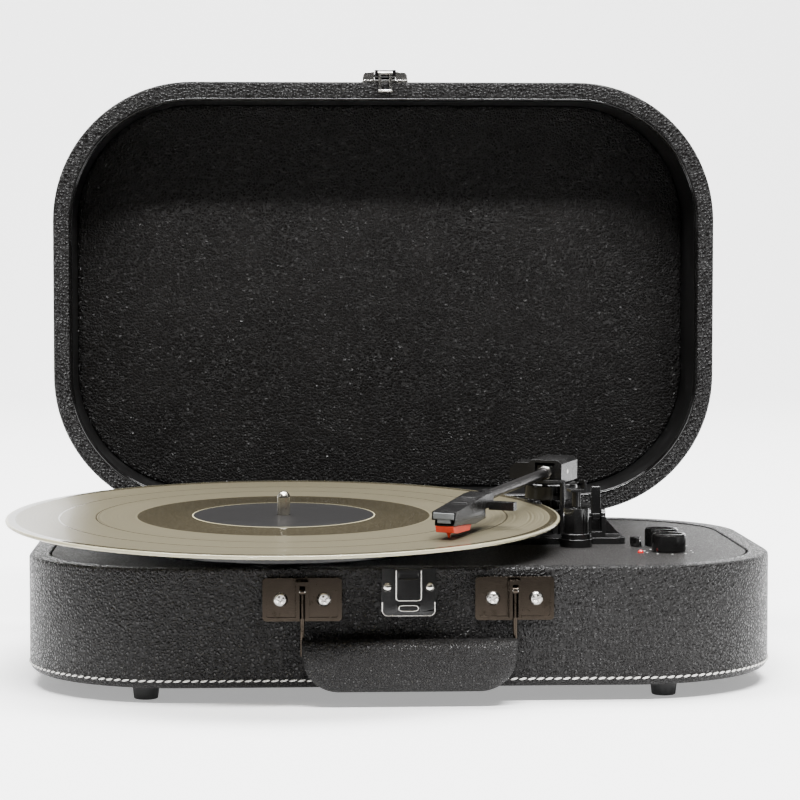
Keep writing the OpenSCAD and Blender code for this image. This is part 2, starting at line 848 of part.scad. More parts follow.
module arm_block() {
  piece("#2b2b2d") tube_frame() difference() {
    union() {
      block([-6, 0.4 - wall_in, -3.2], [tube_start, wall_in - 0.4, 4]);
      along_x(2.6, -13, -5.9);
    }
    rotate([90, 0, 0]) bar(lift_pin_r + run, -wall_in, wall_in);
  }
}

module arm_tube() {
  piece("#3b3a3a") tube_frame() difference() {
    union() {
      along_x(tube_r, tube_start, tube_end);
      along_x(tube_r + 0.9, tube_start, tube_start + 5);
    }
    along_x(tube_r - 0.7, tube_start - 1, tube_end + 1);
  }
}

// A side view in the X and Z plane, given a width along Y.
module slab(width, points) {
  translate([0, width / 2, 0]) rotate([90, 0, 0]) linear_extrude(width) polygon(points);
}

head_low = -4;
module headshell() {
  piece("#161617") tube_frame() difference() {
    union() {
      slab(head_w, [
        [arm_l - 49, head_low], [arm_l - 49, 3.2], [arm_l - 39, 3.4], [arm_l + 7, 0.2], [arm_l + 7.6, head_low]
      ]);
      along_x(tube_r + 1.3, arm_l - 55, arm_l - 48);
      block([arm_l - 49, head_w / 2 - 1, -5.5], [arm_l - 44, head_w / 2 + 13, -1.2]);
    }
    along_x(tube_r, arm_l - 60, tube_end);
  }
}

module cartridge() {
  piece("#101011") tube_frame() slab(head_w - 2, [
    [arm_l - 40, head_low], [arm_l + 6, head_low], [arm_l + 6.6, -7.2], [arm_l - 11, -8.6],
    [arm_l - 25, -10.4], [arm_l - 40, -9.5]
  ]);
}

needle_z = (record_t + needle_gap - arm_up + arm_l * sin(arm_drop)) / cos(arm_drop);
module stylus_holder() {
  piece("#e8401c") tube_frame() union() {
    slab(head_w - 3, [
      [arm_l - 20, -9.757], [arm_l - 11, -8.6], [arm_l + 6.6, -7.2], [arm_l + 5.4, -10.6], [arm_l, -11.6],
      [arm_l - 17, -12.4]
    ]);
    translate([arm_l, 0, needle_z]) cylinder(r1 = 0.25, r2 = 1.5, h = -11 - needle_z);
  }
}

armrest_top = 5;
module armrest() {
  saddle = arm_up - rest_s * sin(arm_drop) - tube_r - 0.4;
  piece("#1b1b1c") difference() {
    arm_frame(park_angle) union() {
      translate([rest_s, 0, 0]) {
        bar(9, -30, -12);
        bar(8.4, -30, -9);
        bar(7, -30, armrest_top);
        bar(2.4, armrest_top - 1, saddle - 1);
      }
      block([rest_s - 4, -4.5, saddle - 1.5], [rest_s + 4, tube_r + 1.9, saddle]);
      block([rest_s - 4, tube_r + 0.5, saddle - 1.5], [rest_s + 4, tube_r + 1.9, saddle + 5]);
    }
    translate([0, 0, deck_z - 60]) linear_extrude(60) outline();
  }
}

cue_x = pivot_x + 22;
cue_y = pivot_y - 30;
cue_z = deck_z + 15;
cue_pin_r = 1.2;
cue_half = 2.6;
module cue_bracket() {
  piece("#232325") translate([cue_x, cue_y, 0]) difference() {
    union() {
      for (s = [-1, 1]) block([s * 4 - 1.2, -5, deck_z + base_t], [s * 4 + 1.2, 5, cue_z]);
      block([-5, -5, deck_z + base_t], [5, 5, deck_z + base_t + 3]);
      translate([0, 0, cue_z]) for (s = [-1, 1]) along_x(4, s * 4 - 1.2, s * 4 + 1.2);
    }
    translate([0, 0, cue_z]) along_x(cue_pin_r + run, -8, 8);
  }
}

module cue_lever() {
  piece("#141415") translate([cue_x, cue_y, cue_z]) union() {
    along_x(cue_pin_r, -5.2, 5.2);
    along_x(3, -cue_half, cue_half);
    translate([-cue_half, 0, 0]) rotate([90, 0, 90]) linear_extrude(2 * cue_half)
      polygon([[-2.6, 0], [2.6, 0], [1.4, 16.5], [-1.4, 16.5]]);
  }
}

module lift_bar() {
  top = arm_up - lift_r * sin(arm_drop) - tube_r - needle_gap;
  piece("#202022") arm_frame() union() {
    rotate([0, 0, lift_post_angle + 3 - lift_arc]) rotate_extrude(angle = lift_arc)
      translate([lift_r - lift_bar_w / 2, top - lift_bar_t]) square([lift_bar_w, lift_bar_t]);
    rotate([0, 0, lift_post_angle]) translate([lift_r, 0, 0]) bar(lift_post_r, chassis_low - 3, top - 1);
  }
}

// ---------------------------------------------------------------- controls

switch_x = knob_x - 14;
lamp_x = knob_x - 16;
lamp_front = volume_front + 5;
lamp_r = 1.6;
knob_shaft_r = 3;
knob_gap = 0.4;
pot_h = 9;

module knob(front) {
  low = deck_z + knob_gap;
  translate([knob_x, -front, 0]) union() {
    difference() {
      union() {
        bar(knob_r, low, low + knob_h - 0.8);
        bar(knob_r - 0.5, low, low + knob_h);
      }
      bar(knob_r - 1.6, low + knob_h - 0.6, low + knob_h + 1);
      translate([0, knob_r - 1.8, low + knob_h - 1]) bar(0.7, 0, 3);
    }
    bar(knob_shaft_r, deck_under - pot_h - 1, low + 1);
  }
}

module volume_knob() {
  piece("#151516") knob(volume_front);
}

module source_knob() {
  piece("#151516") knob(source_front);
}

module mode_switch() {
  low = deck_z + knob_gap;
  piece("#1a1a1b") translate([switch_x, -source_front, 0]) union() {
    bar(2.9, deck_under - 5, low + 2.5);
    translate([0, 0, low]) linear_extrude(4.5) polygon([[-3, 3], [3, 3], [0.8, -7], [-0.8, -7]]);
  }
}

module power_indicator() {
  piece("#c01818") translate([lamp_x, -lamp_front, 0]) union() {
    bar(lamp_r, deck_under - 4, deck_z);
    translate([0, 0, deck_z]) sphere(r = lamp_r);
  }
}

module potentiometers() {
  piece("#6f7274") for (f = [volume_front, source_front]) translate([knob_x, -f, 0]) difference() {
    union() {
      translate([0, 0, deck_under - pot_h]) linear_extrude(pot_h) plate2d(17, 17, 2);
      bar(4.2, deck_under - 1, deck_z - 0.2);
    }
    bar(knob_shaft_r + run, deck_under - pot_h - 1, deck_z + 1);
  }
}

// ---------------------------------------------------------------- electronics

board_z = floor_z + 8;
board_t = 1.6;
board_low = [10, back_y - wall - 66];
board_high = [96, back_y - wall - 12];

module circuit_board() {
  piece("#1f5a34") union() {
    block([board_low[0], board_low[1], board_z], [board_high[0], board_high[1], board_z + board_t]);
    for (x = [board_low[0] + 5, board_high[0] - 5], y = [board_low[1] + 5, board_high[1] - 5])
      translate([x, y, 0]) bar(2.5, floor_z, board_z + 0.5);
  }
}

module board_parts() {
  top = board_z + board_t;
  piece("#30343a") translate([board_low[0], board_low[1], top]) {
    for (i = [0:3]) translate([16 + 11 * i, 12, 0]) cylinder(r = 4, h = 12);
    block([14, 24, 0], [44, 32, 3]);
    block([50, 22, 0], [56, 46, 16]);
    block([64, 10, 0], [78, 22, 8]);
    for (i = [0:4]) block([14 + 7 * i, 38, 0], [18 + 7 * i, 40, 2.5]);
  }
}

module at_speakers() {
  for (s = [-1, 1]) translate([s * speaker_x, -speaker_front, floor_z]) children();
}

module speaker_frames() {
  piece("#3c3e41") at_speakers() rotate_extrude() polygon([
    [speaker_r - 7, 0], [speaker_r, 0], [speaker_r, 2.5], [speaker_r - 5.5, 2.5], [17, 14], [17, 24],
    [0, 24], [0, 13], [15, 13], [speaker_r - 7, 1.5]
  ]);
}

module speaker_cones() {
  piece("#121212") at_speakers() rotate_extrude() polygon([
    [speaker_r - 7, 0.4], [speaker_r - 7, 1.2], [12, 9], [0, 9], [0, 8.2], [11.7, 8.2]
  ]);
}

panel_t = 1.6;
rca_x = [-28, -14];
aux_x = 4;
inlet_x = 24;
rca_r = 4.1;
rca_base_r = 5;
aux_r = 1.8;
inlet_r = 2.75;

module at_jacks() {
  on_back(-jacks_left, jack_z) children();
}

module jack_panel() {
  piece("#1c1c1d") at_jacks() difference() {
    linear_extrude(panel_t) plate2d(jacks_w, jacks_h, 2);
    for (x = rca_x) translate([x, 0, 0]) bar(rca_base_r, -1, 3);
    translate([aux_x, 0, 0]) bar(3.2, -1, 3);
    translate([inlet_x, 0, 0]) bar(4.8, -1, 3);
  }
}

module sockets() {
  piece("#b8b6b0") at_jacks() {
    for (x = rca_x) translate([x, 0, 0]) difference() {
      union() {
        bar(rca_base_r, -6, panel_t);
        bar(rca_r, 0, 9);
      }
      bar(1.6, -1, 10);
    }
    translate([aux_x, 0, 0]) difference() {
      bar(3.2, -14, 2.4);
      bar(aux_r, -13, 3);
    }
    translate([inlet_x, 0, 0]) difference() {
      bar(4.8, -11, 2.4);
      difference() {
        bar(inlet_r, -9.5, 3);
        bar(1, -10, 1.4);
      }
    }
  }
}

base_shell();
bottom_panel();
corner_posts();
deck_panel();
rubber_feet();
foot_screws();
lid_shell();
lid_liner();
lid_trim();
hinge_base_leaves();
hinge_lid_leaves();
hinge_pins();
hinge_base_screws();
hinge_lid_screws();
handle_brackets();
bracket_screws();
bracket_pins();
handle_wires();
handle_grip();
latch_plate();
latch_rivets();
lid_latch_base();
latch_lever();
latch_loop();
sub_chassis();
isolation_mounts();
platter_bearing();
platter();
slip_mat();
spindle();
motor();
motor_pulley();
drive_belt();
record_disc();
record_label();
tonearm_base();
arm_bearing();
swing_shaft();
arm_housing();
lift_pin();
arm_block();
arm_tube();
headshell();
cartridge();
stylus_holder();
armrest();
cue_bracket();
cue_lever();
lift_bar();
volume_knob();
source_knob();
mode_switch();
power_indicator();
potentiometers();
circuit_board();
board_parts();
speaker_frames();
speaker_cones();
jack_panel();
sockets();
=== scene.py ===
"""Looks of a portable suitcase record player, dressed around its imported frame."""
import json
import logging
import math
from dataclasses import dataclass, field
from enum import Enum
from typing import Callable, Dict, List, Sequence, Tuple, Union

import bmesh
import bpy
from mathutils import Matrix, Vector


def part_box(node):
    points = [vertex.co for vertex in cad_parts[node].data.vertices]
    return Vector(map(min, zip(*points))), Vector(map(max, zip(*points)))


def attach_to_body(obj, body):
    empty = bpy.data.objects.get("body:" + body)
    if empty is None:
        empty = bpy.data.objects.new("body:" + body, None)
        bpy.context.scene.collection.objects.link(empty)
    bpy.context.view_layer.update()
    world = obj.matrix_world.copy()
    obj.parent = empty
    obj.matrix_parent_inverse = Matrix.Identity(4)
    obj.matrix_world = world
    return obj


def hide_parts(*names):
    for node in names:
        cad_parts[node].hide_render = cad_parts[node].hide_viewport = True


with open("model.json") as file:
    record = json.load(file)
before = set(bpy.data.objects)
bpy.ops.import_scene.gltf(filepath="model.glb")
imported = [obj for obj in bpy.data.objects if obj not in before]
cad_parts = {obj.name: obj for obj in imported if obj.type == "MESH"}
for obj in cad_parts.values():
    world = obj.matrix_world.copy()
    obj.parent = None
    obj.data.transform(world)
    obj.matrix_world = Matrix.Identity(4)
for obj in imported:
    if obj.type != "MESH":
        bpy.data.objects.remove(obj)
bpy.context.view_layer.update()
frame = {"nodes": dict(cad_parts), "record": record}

LOG = logging.getLogger("record_player")
MM = 0.001
Number = Union[int, float]
Colour = Tuple[float, float, float]
Pair = Tuple[float, float]
Place = Callable[[float, float, float], Vector]


# ------------------------------------------------------------------ shader maths

class Value:
    """A shader socket that takes part in ordinary arithmetic."""

    def __init__(self, graph: "Graph", socket: bpy.types.NodeSocket) -> None:
        """Wraps a socket.

        Args:
            graph: The material graph that the socket belongs to.
            socket: The output socket.
        """
        self.graph = graph
        self.socket = socket

    def _math(self, operation: str, *terms: Union["Value", Number]) -> "Value":
        """Adds one Math node.

        Args:
            operation: Name of the Math operation.
            terms: Its inputs in order.

        Returns:
            The node's result.
        """
        node = self.graph.node("ShaderNodeMath", {"operation": operation}, dict(enumerate(terms)))
        return Value(self.graph, node.outputs[0])

    def __add__(self, other: Union["Value", Number]) -> "Value":
        """Sum."""
        return self._math("ADD", self, other)

    __radd__ = __add__

    def __sub__(self, other: Union["Value", Number]) -> "Value":
        """Difference."""
        return self._math("SUBTRACT", self, other)

    def __rsub__(self, other: Number) -> "Value":
        """Difference with a plain number on the left."""
        return self._math("SUBTRACT", other, self)

    def __mul__(self, other: Union["Value", Number]) -> "Value":
        """Product."""
        return self._math("MULTIPLY", self, other)

    __rmul__ = __mul__

    def __pow__(self, other: Number) -> "Value":
        """Power."""
        return self._math("POWER", self, other)

    def sine(self) -> "Value":
        """Sine of an angle in radians."""
        return self._math("SINE", self)

    def ramp(self, low: float, high: float) -> "Value":
        """Smooth step from zero at low to one at high.

        Args:
            low: Value that gives zero.
            high: Value that gives one.

        Returns:
            The stepped value.
        """
        node = self.graph.node(
            "ShaderNodeMapRange", {"interpolation_type": "SMOOTHSTEP"},
            {"Value": self, "From Min": low, "From Max": high, "To Min": 0.0, "To Max": 1.0})
        return Value(self.graph, node.outputs["Result"])


Link = Union[Value, Number, Tuple[float, ...], bpy.types.NodeSocket]


class Graph:
    """The node graph of one material, ending in one Principled shader."""

    def __init__(self, name: str) -> None:
        """Starts a material with an empty graph.

        Args:
            name: Name of the material.
        """
        self.material = bpy.data.materials.new(name)
        self.material.use_nodes = True
        self.tree = self.material.node_tree
        self.tree.nodes.clear()
        self.coords = self.node("ShaderNodeTexCoord", {}, {}).outputs["Object"]

    def node(self, kind: str, settings: Dict[str, object], sockets: Dict[Union[str, int], Link]) -> bpy.types.Node:
        """Adds a node, sets it up, then fills or links its sockets.

        Args:
            kind: The node's type.
            settings: Its properties.
            sockets: Values or links by the input's name or number.

        Returns:
            The new node.
        """
        node = self.tree.nodes.new(kind)
        for key, value in settings.items():
            setattr(node, key, value)
        for key, value in sockets.items():
            if isinstance(value, Value):
                value = value.socket
            if isinstance(value, bpy.types.NodeSocket):
                self.tree.links.new(value, node.inputs[key])
            else:
                node.inputs[key].default_value = value
        return node

    def noise(self, scale: float, detail: float = 3.0, stretch: Tuple[float, float, float] = (1, 1, 1)) -> Value:
        """A noise in object space.

        Args:
            scale: Cells per metre.
            detail: Octaves.
            stretch: Scale of each axis.

        Returns:
            Noise from zero to one.
        """
        place = self.node("ShaderNodeMapping", {}, {"Vector": self.coords, "Scale": stretch})
        node = self.node("ShaderNodeTexNoise", {}, {"Vector": place.outputs[0], "Scale": scale, "Detail": detail})
        return Value(self, node.outputs[0])

    def cells(self, scale: float, warp: float) -> Value:
        """Distance to the nearest crease of a cell pattern, warped so that no cell is regular.

        Args:
            scale: Cells per metre.
            warp: Strength of the warp, in metres.

        Returns:
            Zero in the creases, rising to about a half.
        """
        wander = self.node("ShaderNodeTexNoise", {}, {"Vector": self.coords, "Scale": scale * 0.6, "Detail": 2.0})
        offset = self.node("ShaderNodeVectorMath", {"operation": "SCALE"}, {0: wander.outputs["Color"], "Scale": warp})
        moved = self.node("ShaderNodeVectorMath", {"operation": "ADD"}, {0: self.coords, 1: offset.outputs[0]})
        node = self.node("ShaderNodeTexVoronoi", {"feature": "DISTANCE_TO_EDGE"},
                         {"Vector": moved.outputs[0], "Scale": scale})
        return Value(self, node.outputs["Distance"])

    def axes(self) -> List[Value]:
        """The object's own X, Y and Z."""
        split = self.node("ShaderNodeSeparateXYZ", {}, {0: self.coords})
        return [Value(self, output) for output in split.outputs]

    def radius(self) -> Value:
        """Distance from the object's Z axis."""
        x, y, _ = self.axes()
        return (x * x + y * y) ** 0.5

    def blend(self, factor: Value, first: Link, second: Link) -> bpy.types.NodeSocket:
        """Mixes two colours.

        Args:
            factor: Zero gives the first colour, one the second.
            first: First colour.
            second: Second colour.

        Returns:
            The mixed colour's socket.
        """
        node = self.node("ShaderNodeMix", {"data_type": "RGBA"}, {"Factor": factor, 6: first, 7: second})
        return node.outputs[2]

    def bump(self, height: Value, distance: float) -> bpy.types.NodeSocket:
        """Turns a height into a normal.

        Args:
            height: Height from zero to one.
            distance: Height of one, in metres.

        Returns:
            The normal's socket.
        """
        node = self.node("ShaderNodeBump", {}, {"Height": height, "Distance": distance, "Strength": 1.0})
        return node.outputs[0]

    def finish(self, sockets: Dict[Union[str, int], Link]) -> bpy.types.Material:
        """Adds the shader and the output.

        Args:
            sockets: Inputs of the Principled shader.

        Returns:
            The finished material.
        """
        shader = self.node("ShaderNodeBsdfPrincipled", {}, sockets)
        self.node("ShaderNodeOutputMaterial", {}, {"Surface": shader.outputs[0]})
        return self.material


def rgba(colour: Colour) -> Tuple[float, float, float, float]:
    """A colour with full opacity."""
    return (*colour, 1.0)


# ------------------------------------------------------------------ finishes

@dataclass(frozen=True)
class Leather:
    """Pebbled leather cloth with creases between its grains."""

    name: str
    colour: Colour = (0.0052, 0.0046, 0.0045)
    crest: Colour = (0.013, 0.0118, 0.0114)
    grain: float = 1.9 * MM
    depth: float = 0.95 * MM
    rough: float = 0.17

    def build(self) -> bpy.types.Material:
        """Makes the material."""
        g = Graph(self.name)
        edge = g.cells(1 / self.grain, self.grain * 0.9)
        pebble = edge.ramp(0.01, 0.30)
        fine = g.noise(2.6 / self.grain, 3.0)
        broad = g.noise(22.0, 3.0)
        height = pebble * 0.75 + fine * 0.25
        wear = (pebble * broad).ramp(0.35, 0.75)
        colour = g.blend(wear, rgba(self.colour), rgba(self.crest))
        rough = self.rough + 0.38 * (1 - pebble) + 0.08 * (broad - 0.5)
        return g.finish({"Base Color": colour, "Roughness": rough, "Specular IOR Level": 0.26,
                         "Normal": g.bump(height, self.depth)})


@dataclass(frozen=True)
class Plastic:
    """Moulded plastic with a fine spark texture, handling marks and paler high spots."""

    name: str
    colour: Colour = (0.012, 0.012, 0.0125)
    rough: float = 0.32
    texture: float = 0.5 * MM
    depth: float = 0.02 * MM
    coat: float = 0.0

    def build(self) -> bpy.types.Material:
        """Makes the material."""
        g = Graph(self.name)
        spark = g.noise(1 / self.texture, 4.0)
        marks = g.noise(60.0, 4.0)
        pale = tuple(min(1.0, c * 1.5 + 0.006) for c in self.colour)
        colour = g.blend(marks.ramp(0.45, 0.8), rgba(self.colour), rgba(pale))
        rough = self.rough + 0.16 * (marks - 0.5) + 0.08 * (spark - 0.5)
        return g.finish({"Base Color": colour, "Roughness": rough, "Coat Weight": self.coat,
                         "Normal": g.bump(spark, self.depth)})


@dataclass(frozen=True)
class Metal:
    """Plated or turned metal with fine brushing and patches of tarnish."""

    name: str
    colour: Colour = (0.62, 0.60, 0.57)
    tarnish: Colour = (0.30, 0.28, 0.25)
    rough: float = 0.16
    brush: Tuple[float, float, float] = (1.0, 1.0, 8.0)

    def build(self) -> bpy.types.Material:
        """Makes the material."""
        g = Graph(self.name)
        lines = g.noise(420.0, 3.0, self.brush)
        patch = g.noise(160.0, 4.0)
        dull = patch.ramp(0.48, 0.78)
        colour = g.blend(dull, rgba(self.colour), rgba(self.tarnish))
        rough = self.rough + 0.14 * lines + 0.12 * dull
        return g.finish({"Base Color": colour, "Metallic": 1.0, "Roughness": rough,
                         "Normal": g.bump(lines, 0.015 * MM)})


@dataclass(frozen=True)
class Vinyl:
    """Smoky translucent record: grooved bands, smooth run-out with a painted reflection of pebbled leather, and
    separator rings.
    """

    name: str = "vinyl_smoke"
    band_in: float = 79 * MM
    band_out: float = 145 * MM
    separators: Tuple[float, ...] = (102 * MM, 122 * MM)
    edge_in: float = 149 * MM
    groove: float = 0.55 * MM
    gap: float = 0.8 * MM
    # Two run-out tones; the smooth run-out's colour moves between them in a pebbled pattern that is a painted
    # reflection of leather.
    runout_and_reflection: Tuple[Colour, Colour] = ((0.058, 0.049, 0.030), (0.098, 0.084, 0.054))
    grooved: Tuple[Colour, Colour] = ((0.125, 0.108, 0.066), (0.205, 0.182, 0.12))
    bead: Colour = (0.50, 0.46, 0.31)
    index: float = 1.50
    see_through: float = 0.42

    def build(self) -> bpy.types.Material:
        """Makes the material."""
        g = Graph(self.name)
        radius = g.radius()
        inside = radius.ramp(self.band_in, self.band_in + MM)
        band = inside * (1 - radius.ramp(self.band_out, self.band_out + MM))
        for ring in self.separators:
            smooth = radius.ramp(ring - self.gap, ring) - radius.ramp(ring, ring + self.gap)
            band = band * (1 - 0.85 * smooth)
        groove = (radius * (2 * math.pi / self.groove)).sine() * 0.5 + 0.5
        tone = g.node("ShaderNodeTexNoise", {"noise_dimensions": "1D"},
                      {"W": radius * 900.0, "Scale": 1.0, "Detail": 3.0})
        loud = Value(g, tone.outputs[0])
        smoke = g.noise(9.0, 3.0)
        # Painted reflection: a cell pattern the size of the leather grain, mixed with smoky tone, is painted into the
        # colour of the smooth run-out.
        painted_leather_reflection = g.cells(1 / (2.2 * MM), 1.6 * MM).ramp(0.02, 0.3)
        clear = g.blend(painted_leather_reflection * (0.55 + 0.45 * smoke), *map(rgba, self.runout_and_reflection))
        cut = g.blend(loud.ramp(0.3, 0.7), *map(rgba, self.grooved))
        colour = g.blend(band, clear, cut)
        colour = g.blend(radius.ramp(self.edge_in, self.edge_in + MM), colour, rgba(self.bead))
        rough = 0.07 + band * (0.20 + 0.10 * loud)
        return g.finish({"Base Color": colour, "Roughness": rough, "IOR": self.index,
                         "Transmission Weight": self.see_through,
                         "Coat Weight": 0.1, "Coat Roughness": 0.04,
                         "Normal": g.bump(groove * band, 0.012 * MM)})


@dataclass(frozen=True)
class Label:
    """Black paper label with a pressed ring and a bright edge."""

    name: str = "label_paper"
    radius: float = 50 * MM
    ring: float = 16 * MM
    paper: Tuple[Colour, Colour] = ((0.002, 0.0017, 0.0017), (0.006, 0.005, 0.005))
    edge: Colour = (0.42, 0.38, 0.24)

    def build(self) -> bpy.types.Material:
        """Makes the material."""
        g = Graph(self.name)
        radius = g.radius()
        pressed = radius.ramp(self.ring - MM, self.ring) - radius.ramp(self.ring, self.ring + MM)
        rim = radius.ramp(self.radius - 0.9 * MM, self.radius - 0.4 * MM)
        fibre = g.noise(1500.0, 4.0)
        colour = g.blend(rim, g.blend(fibre.ramp(0.4, 0.8), *map(rgba, self.paper)), rgba(self.edge))
        return g.finish({"Base Color": colour, "Roughness": 0.30 + 0.2 * fibre,
                         "Normal": g.bump(fibre * 0.3 + pressed, 0.05 * MM)})


@dataclass(frozen=True)
class Cloth:
    """Thread, felt or paper: soft fibres over one colour."""

    name: str
    colour: Colour
    fibre: float = 0.4 * MM
    rough: float = 0.85

    def build(self) -> bpy.types.Material:
        """Makes the material."""
        g = Graph(self.name)
        fibre = g.noise(1 / self.fibre, 5.0)
        dark = tuple(c * 0.62 for c in self.colour)
        colour = g.blend(fibre.ramp(0.3, 0.7), rgba(dark), rgba(self.colour))
        return g.finish({"Base Color": colour, "Roughness": self.rough - 0.1 * fibre,
                         "Normal": g.bump(fibre, 0.08 * MM)})


class Finish(Enum):
    """Every finish on the machine."""

    CASE = Leather("case_leather")
    PAD = Leather("pad_leather", colour=(0.0065, 0.0058, 0.0055), crest=(0.018, 0.0162, 0.0155), grain=1.9 * MM,
                  depth=1.05 * MM, rough=0.18)
    GRIP = Leather("grip_leather", grain=1.4 * MM, depth=0.65 * MM, rough=0.2)
    DECK = Leather("deck_leather", colour=(0.0065, 0.0055, 0.0050), crest=(0.013, 0.0112, 0.0102), grain=1.0 * MM,
                   depth=0.22 * MM, rough=0.30)
    SATIN = Plastic("satin_black", colour=(0.0055, 0.0053, 0.0053), rough=0.26)
    GLOSS = Plastic("gloss_black", colour=(0.0035, 0.0033, 0.0032), rough=0.10, depth=0.008 * MM)
    LINING = Plastic("lining_black", colour=(0.006, 0.0058, 0.0058), rough=0.32)
    RUBBER = Plastic("rubber_black", colour=(0.014, 0.014, 0.014), rough=0.7, depth=0.05 * MM)
    RED = Plastic("needle_red", colour=(0.78, 0.045, 0.012), rough=0.3)
    LAMP = Plastic("lamp_red", colour=(0.55, 0.01, 0.01), rough=0.12, coat=0.6)
    GREY = Plastic("nose_grey", colour=(0.10, 0.105, 0.105), rough=0.3)
    INK = Plastic("print_white", colour=(0.62, 0.62, 0.60), rough=0.5)
    BOARD = Plastic("board_green", colour=(0.02, 0.13, 0.06), rough=0.3)
    CHIP = Plastic("chip_grey", colour=(0.05, 0.055, 0.06), rough=0.35)
    CHROME = Metal("chrome")
    NICKEL = Metal("dark_nickel", colour=(0.034, 0.027, 0.021), tarnish=(0.020, 0.016, 0.012), rough=0.14)
    SPINDLE = Metal("spindle_steel", colour=(0.74, 0.70, 0.60), rough=0.12)
    TUBE = Metal("arm_tube_dark", colour=(0.10, 0.096, 0.095), tarnish=(0.05, 0.048, 0.047), rough=0.26)
    ZINC = Metal("zinc_plate", colour=(0.5, 0.5, 0.5), rough=0.3)
    BRASS = Metal("brass", colour=(0.62, 0.47, 0.22), tarnish=(0.35, 0.25, 0.12), rough=0.2)
    VINYL = Vinyl()
    LABEL = Label()
    THREAD = Cloth("white_thread", (0.78, 0.76, 0.72), fibre=0.25 * MM)
    FELT = Cloth("felt_black", (0.02, 0.02, 0.021))
    CONE = Cloth("cone_paper", (0.03, 0.03, 0.03))
    WOOD = Cloth("post_wood", (0.42, 0.30, 0.17), fibre=1.2 * MM)


_MADE: Dict[Finish, bpy.types.Material] = {}


def material(finish: Finish) -> bpy.types.Material:
    """The material of a finish, made once.

    Args:
        finish: Which finish.

    Returns:
        Its material.
    """
    if finish not in _MADE:
        _MADE[finish] = finish.value.build()
    return _MADE[finish]


# ------------------------------------------------------------------ mesh tools

def as_object(name: str, verts: Sequence[Sequence[float]], faces: Sequence[Sequence[int]], finish: Finish,
              smooth_angle: float = 40.0) -> bpy.types.Object:
    """Makes an object from points and faces.

    Args:
        name: Name of the piece.
        verts: Its points.
        faces: Its faces.
        finish: Its finish.
        smooth_angle: Edges flatter than this are shaded smooth, in degrees.

    Returns:
        The new object, linked to the scene.
    """
    mesh = bpy.data.meshes.new(name)
    mesh.from_pydata([tuple(v) for v in verts], [], [tuple(f) for f in faces])
    return from_mesh(name, mesh, finish, smooth_angle)


def from_mesh(name: str, mesh: bpy.types.Mesh, finish: Finish, smooth_angle: float) -> bpy.types.Object:
    """Cleans a mesh and makes it an object.

    Args:
        name: Name of the piece.
        mesh: Its mesh.
        finish: Its finish.
        smooth_angle: Edges flatter than this are shaded smooth, in degrees.

    Returns:
        The new object.
    """
    tool = bmesh.new()
    tool.from_mesh(mesh)
    bmesh.ops.remove_doubles(tool, verts=tool.verts, dist=1e-7)
    bmesh.ops.recalc_face_normals(tool, faces=tool.faces)
    tool.to_mesh(mesh)
    tool.free()
    for polygon in mesh.polygons:
        polygon.use_smooth = True
    mesh.set_sharp_from_angle(angle=math.radians(smooth_angle))
    mesh.materials.clear()
    mesh.materials.append(material(finish))
    piece = bpy.data.objects.new(name, mesh)
    bpy.context.scene.collection.objects.link(piece)
    return piece


def arc(centre: Pair, radius: float, start: float, stop: float, steps: int = 6) -> List[Pair]:
    """Points along an arc.

    Args:
        centre: Its centre.
        radius: Its radius.
        start: First angle, in degrees.
        stop: Last angle, in degrees.
        steps: Number of steps.

    Returns:
        The points in order.
    """
    angles = [math.radians(start + (stop - start) * i / steps) for i in range(steps + 1)]
    return [(centre[0] + radius * math.cos(a), centre[1] + radius * math.sin(a)) for a in angles]


@dataclass
class Outline:
    """A rectangle with round corners, seen from above."""

    width: float
    depth: float
    radius: float
    steps: int = 20

    def points(self, inset: float = 0.0) -> List[Pair]:
        """The outline moved inwards, anticlockwise from the right-hand side.

        Args:
            inset: How far inwards.

        Returns:
            Points round the outline.
        """
        r = max(self.radius - inset, 0.5 * MM)
        x = self.width / 2 - inset - r
        y = self.depth / 2 - inset - r
        corners = [((x, y), 0), ((-x, y), 90), ((-x, -y), 180), ((x, -y), 270)]
        return [p for centre, start in corners for p in arc(centre, r, start, start + 90, self.steps)]

    def length(self, inset: float = 0.0) -> float:
        """Length of the outline moved inwards."""
        ring = self.points(inset)
        return sum(math.dist(a, b) for a, b in zip(ring, ring[1:] + ring[:1]))

    def walk(self, inset: float, pitch: float) -> List[Tuple[Pair, Pair]]:
        """Evenly spaced places along the outline.

        Args:
            inset: How far inwards.
            pitch: Wanted distance between places.

        Returns:
            Place and unit direction of each.
        """
        ring = self.points(inset)
        total = self.length(inset)
        count = round(total / pitch)
        places = []
        target, done = 0.0, 0.0
        for a, b in zip(ring, ring[1:] + ring[:1]):
            span = math.dist(a, b)
            while span > 0 and target <= done + span and len(places) < count:
                t = (target - done) / span
                places.append(((a[0] + (b[0] - a[0]) * t, a[1] + (b[1] - a[1]) * t),
                               ((b[0] - a[0]) / span, (b[1] - a[1]) / span)))
                target += total / count
            done += span
        return places


def skin(a: int, b: int, sides: int) -> List[Sequence[int]]:
    """Faces that join two rings of points.

    Args:
        a: Number of the first ring's first point.
        b: Number of the second ring's first point.
        sides: Points in each ring.

    Returns:
        The faces in order.
    """
    return [(a + k, a + (k + 1) % sides, b + (k + 1) % sides, b + k) for k in range(sides)]


def caps(first: int, rings: int, sides: int) -> List[Sequence[int]]:
    """Flat faces that close a stack of rings at both ends."""
    last = first + (rings - 1) * sides
    return [range(first, first + sides), range(last, last + sides)]


def turns(count: int) -> List[float]:
    """Evenly spaced angles round a circle, in radians."""
    return [2 * math.pi * k / count for k in range(count)]


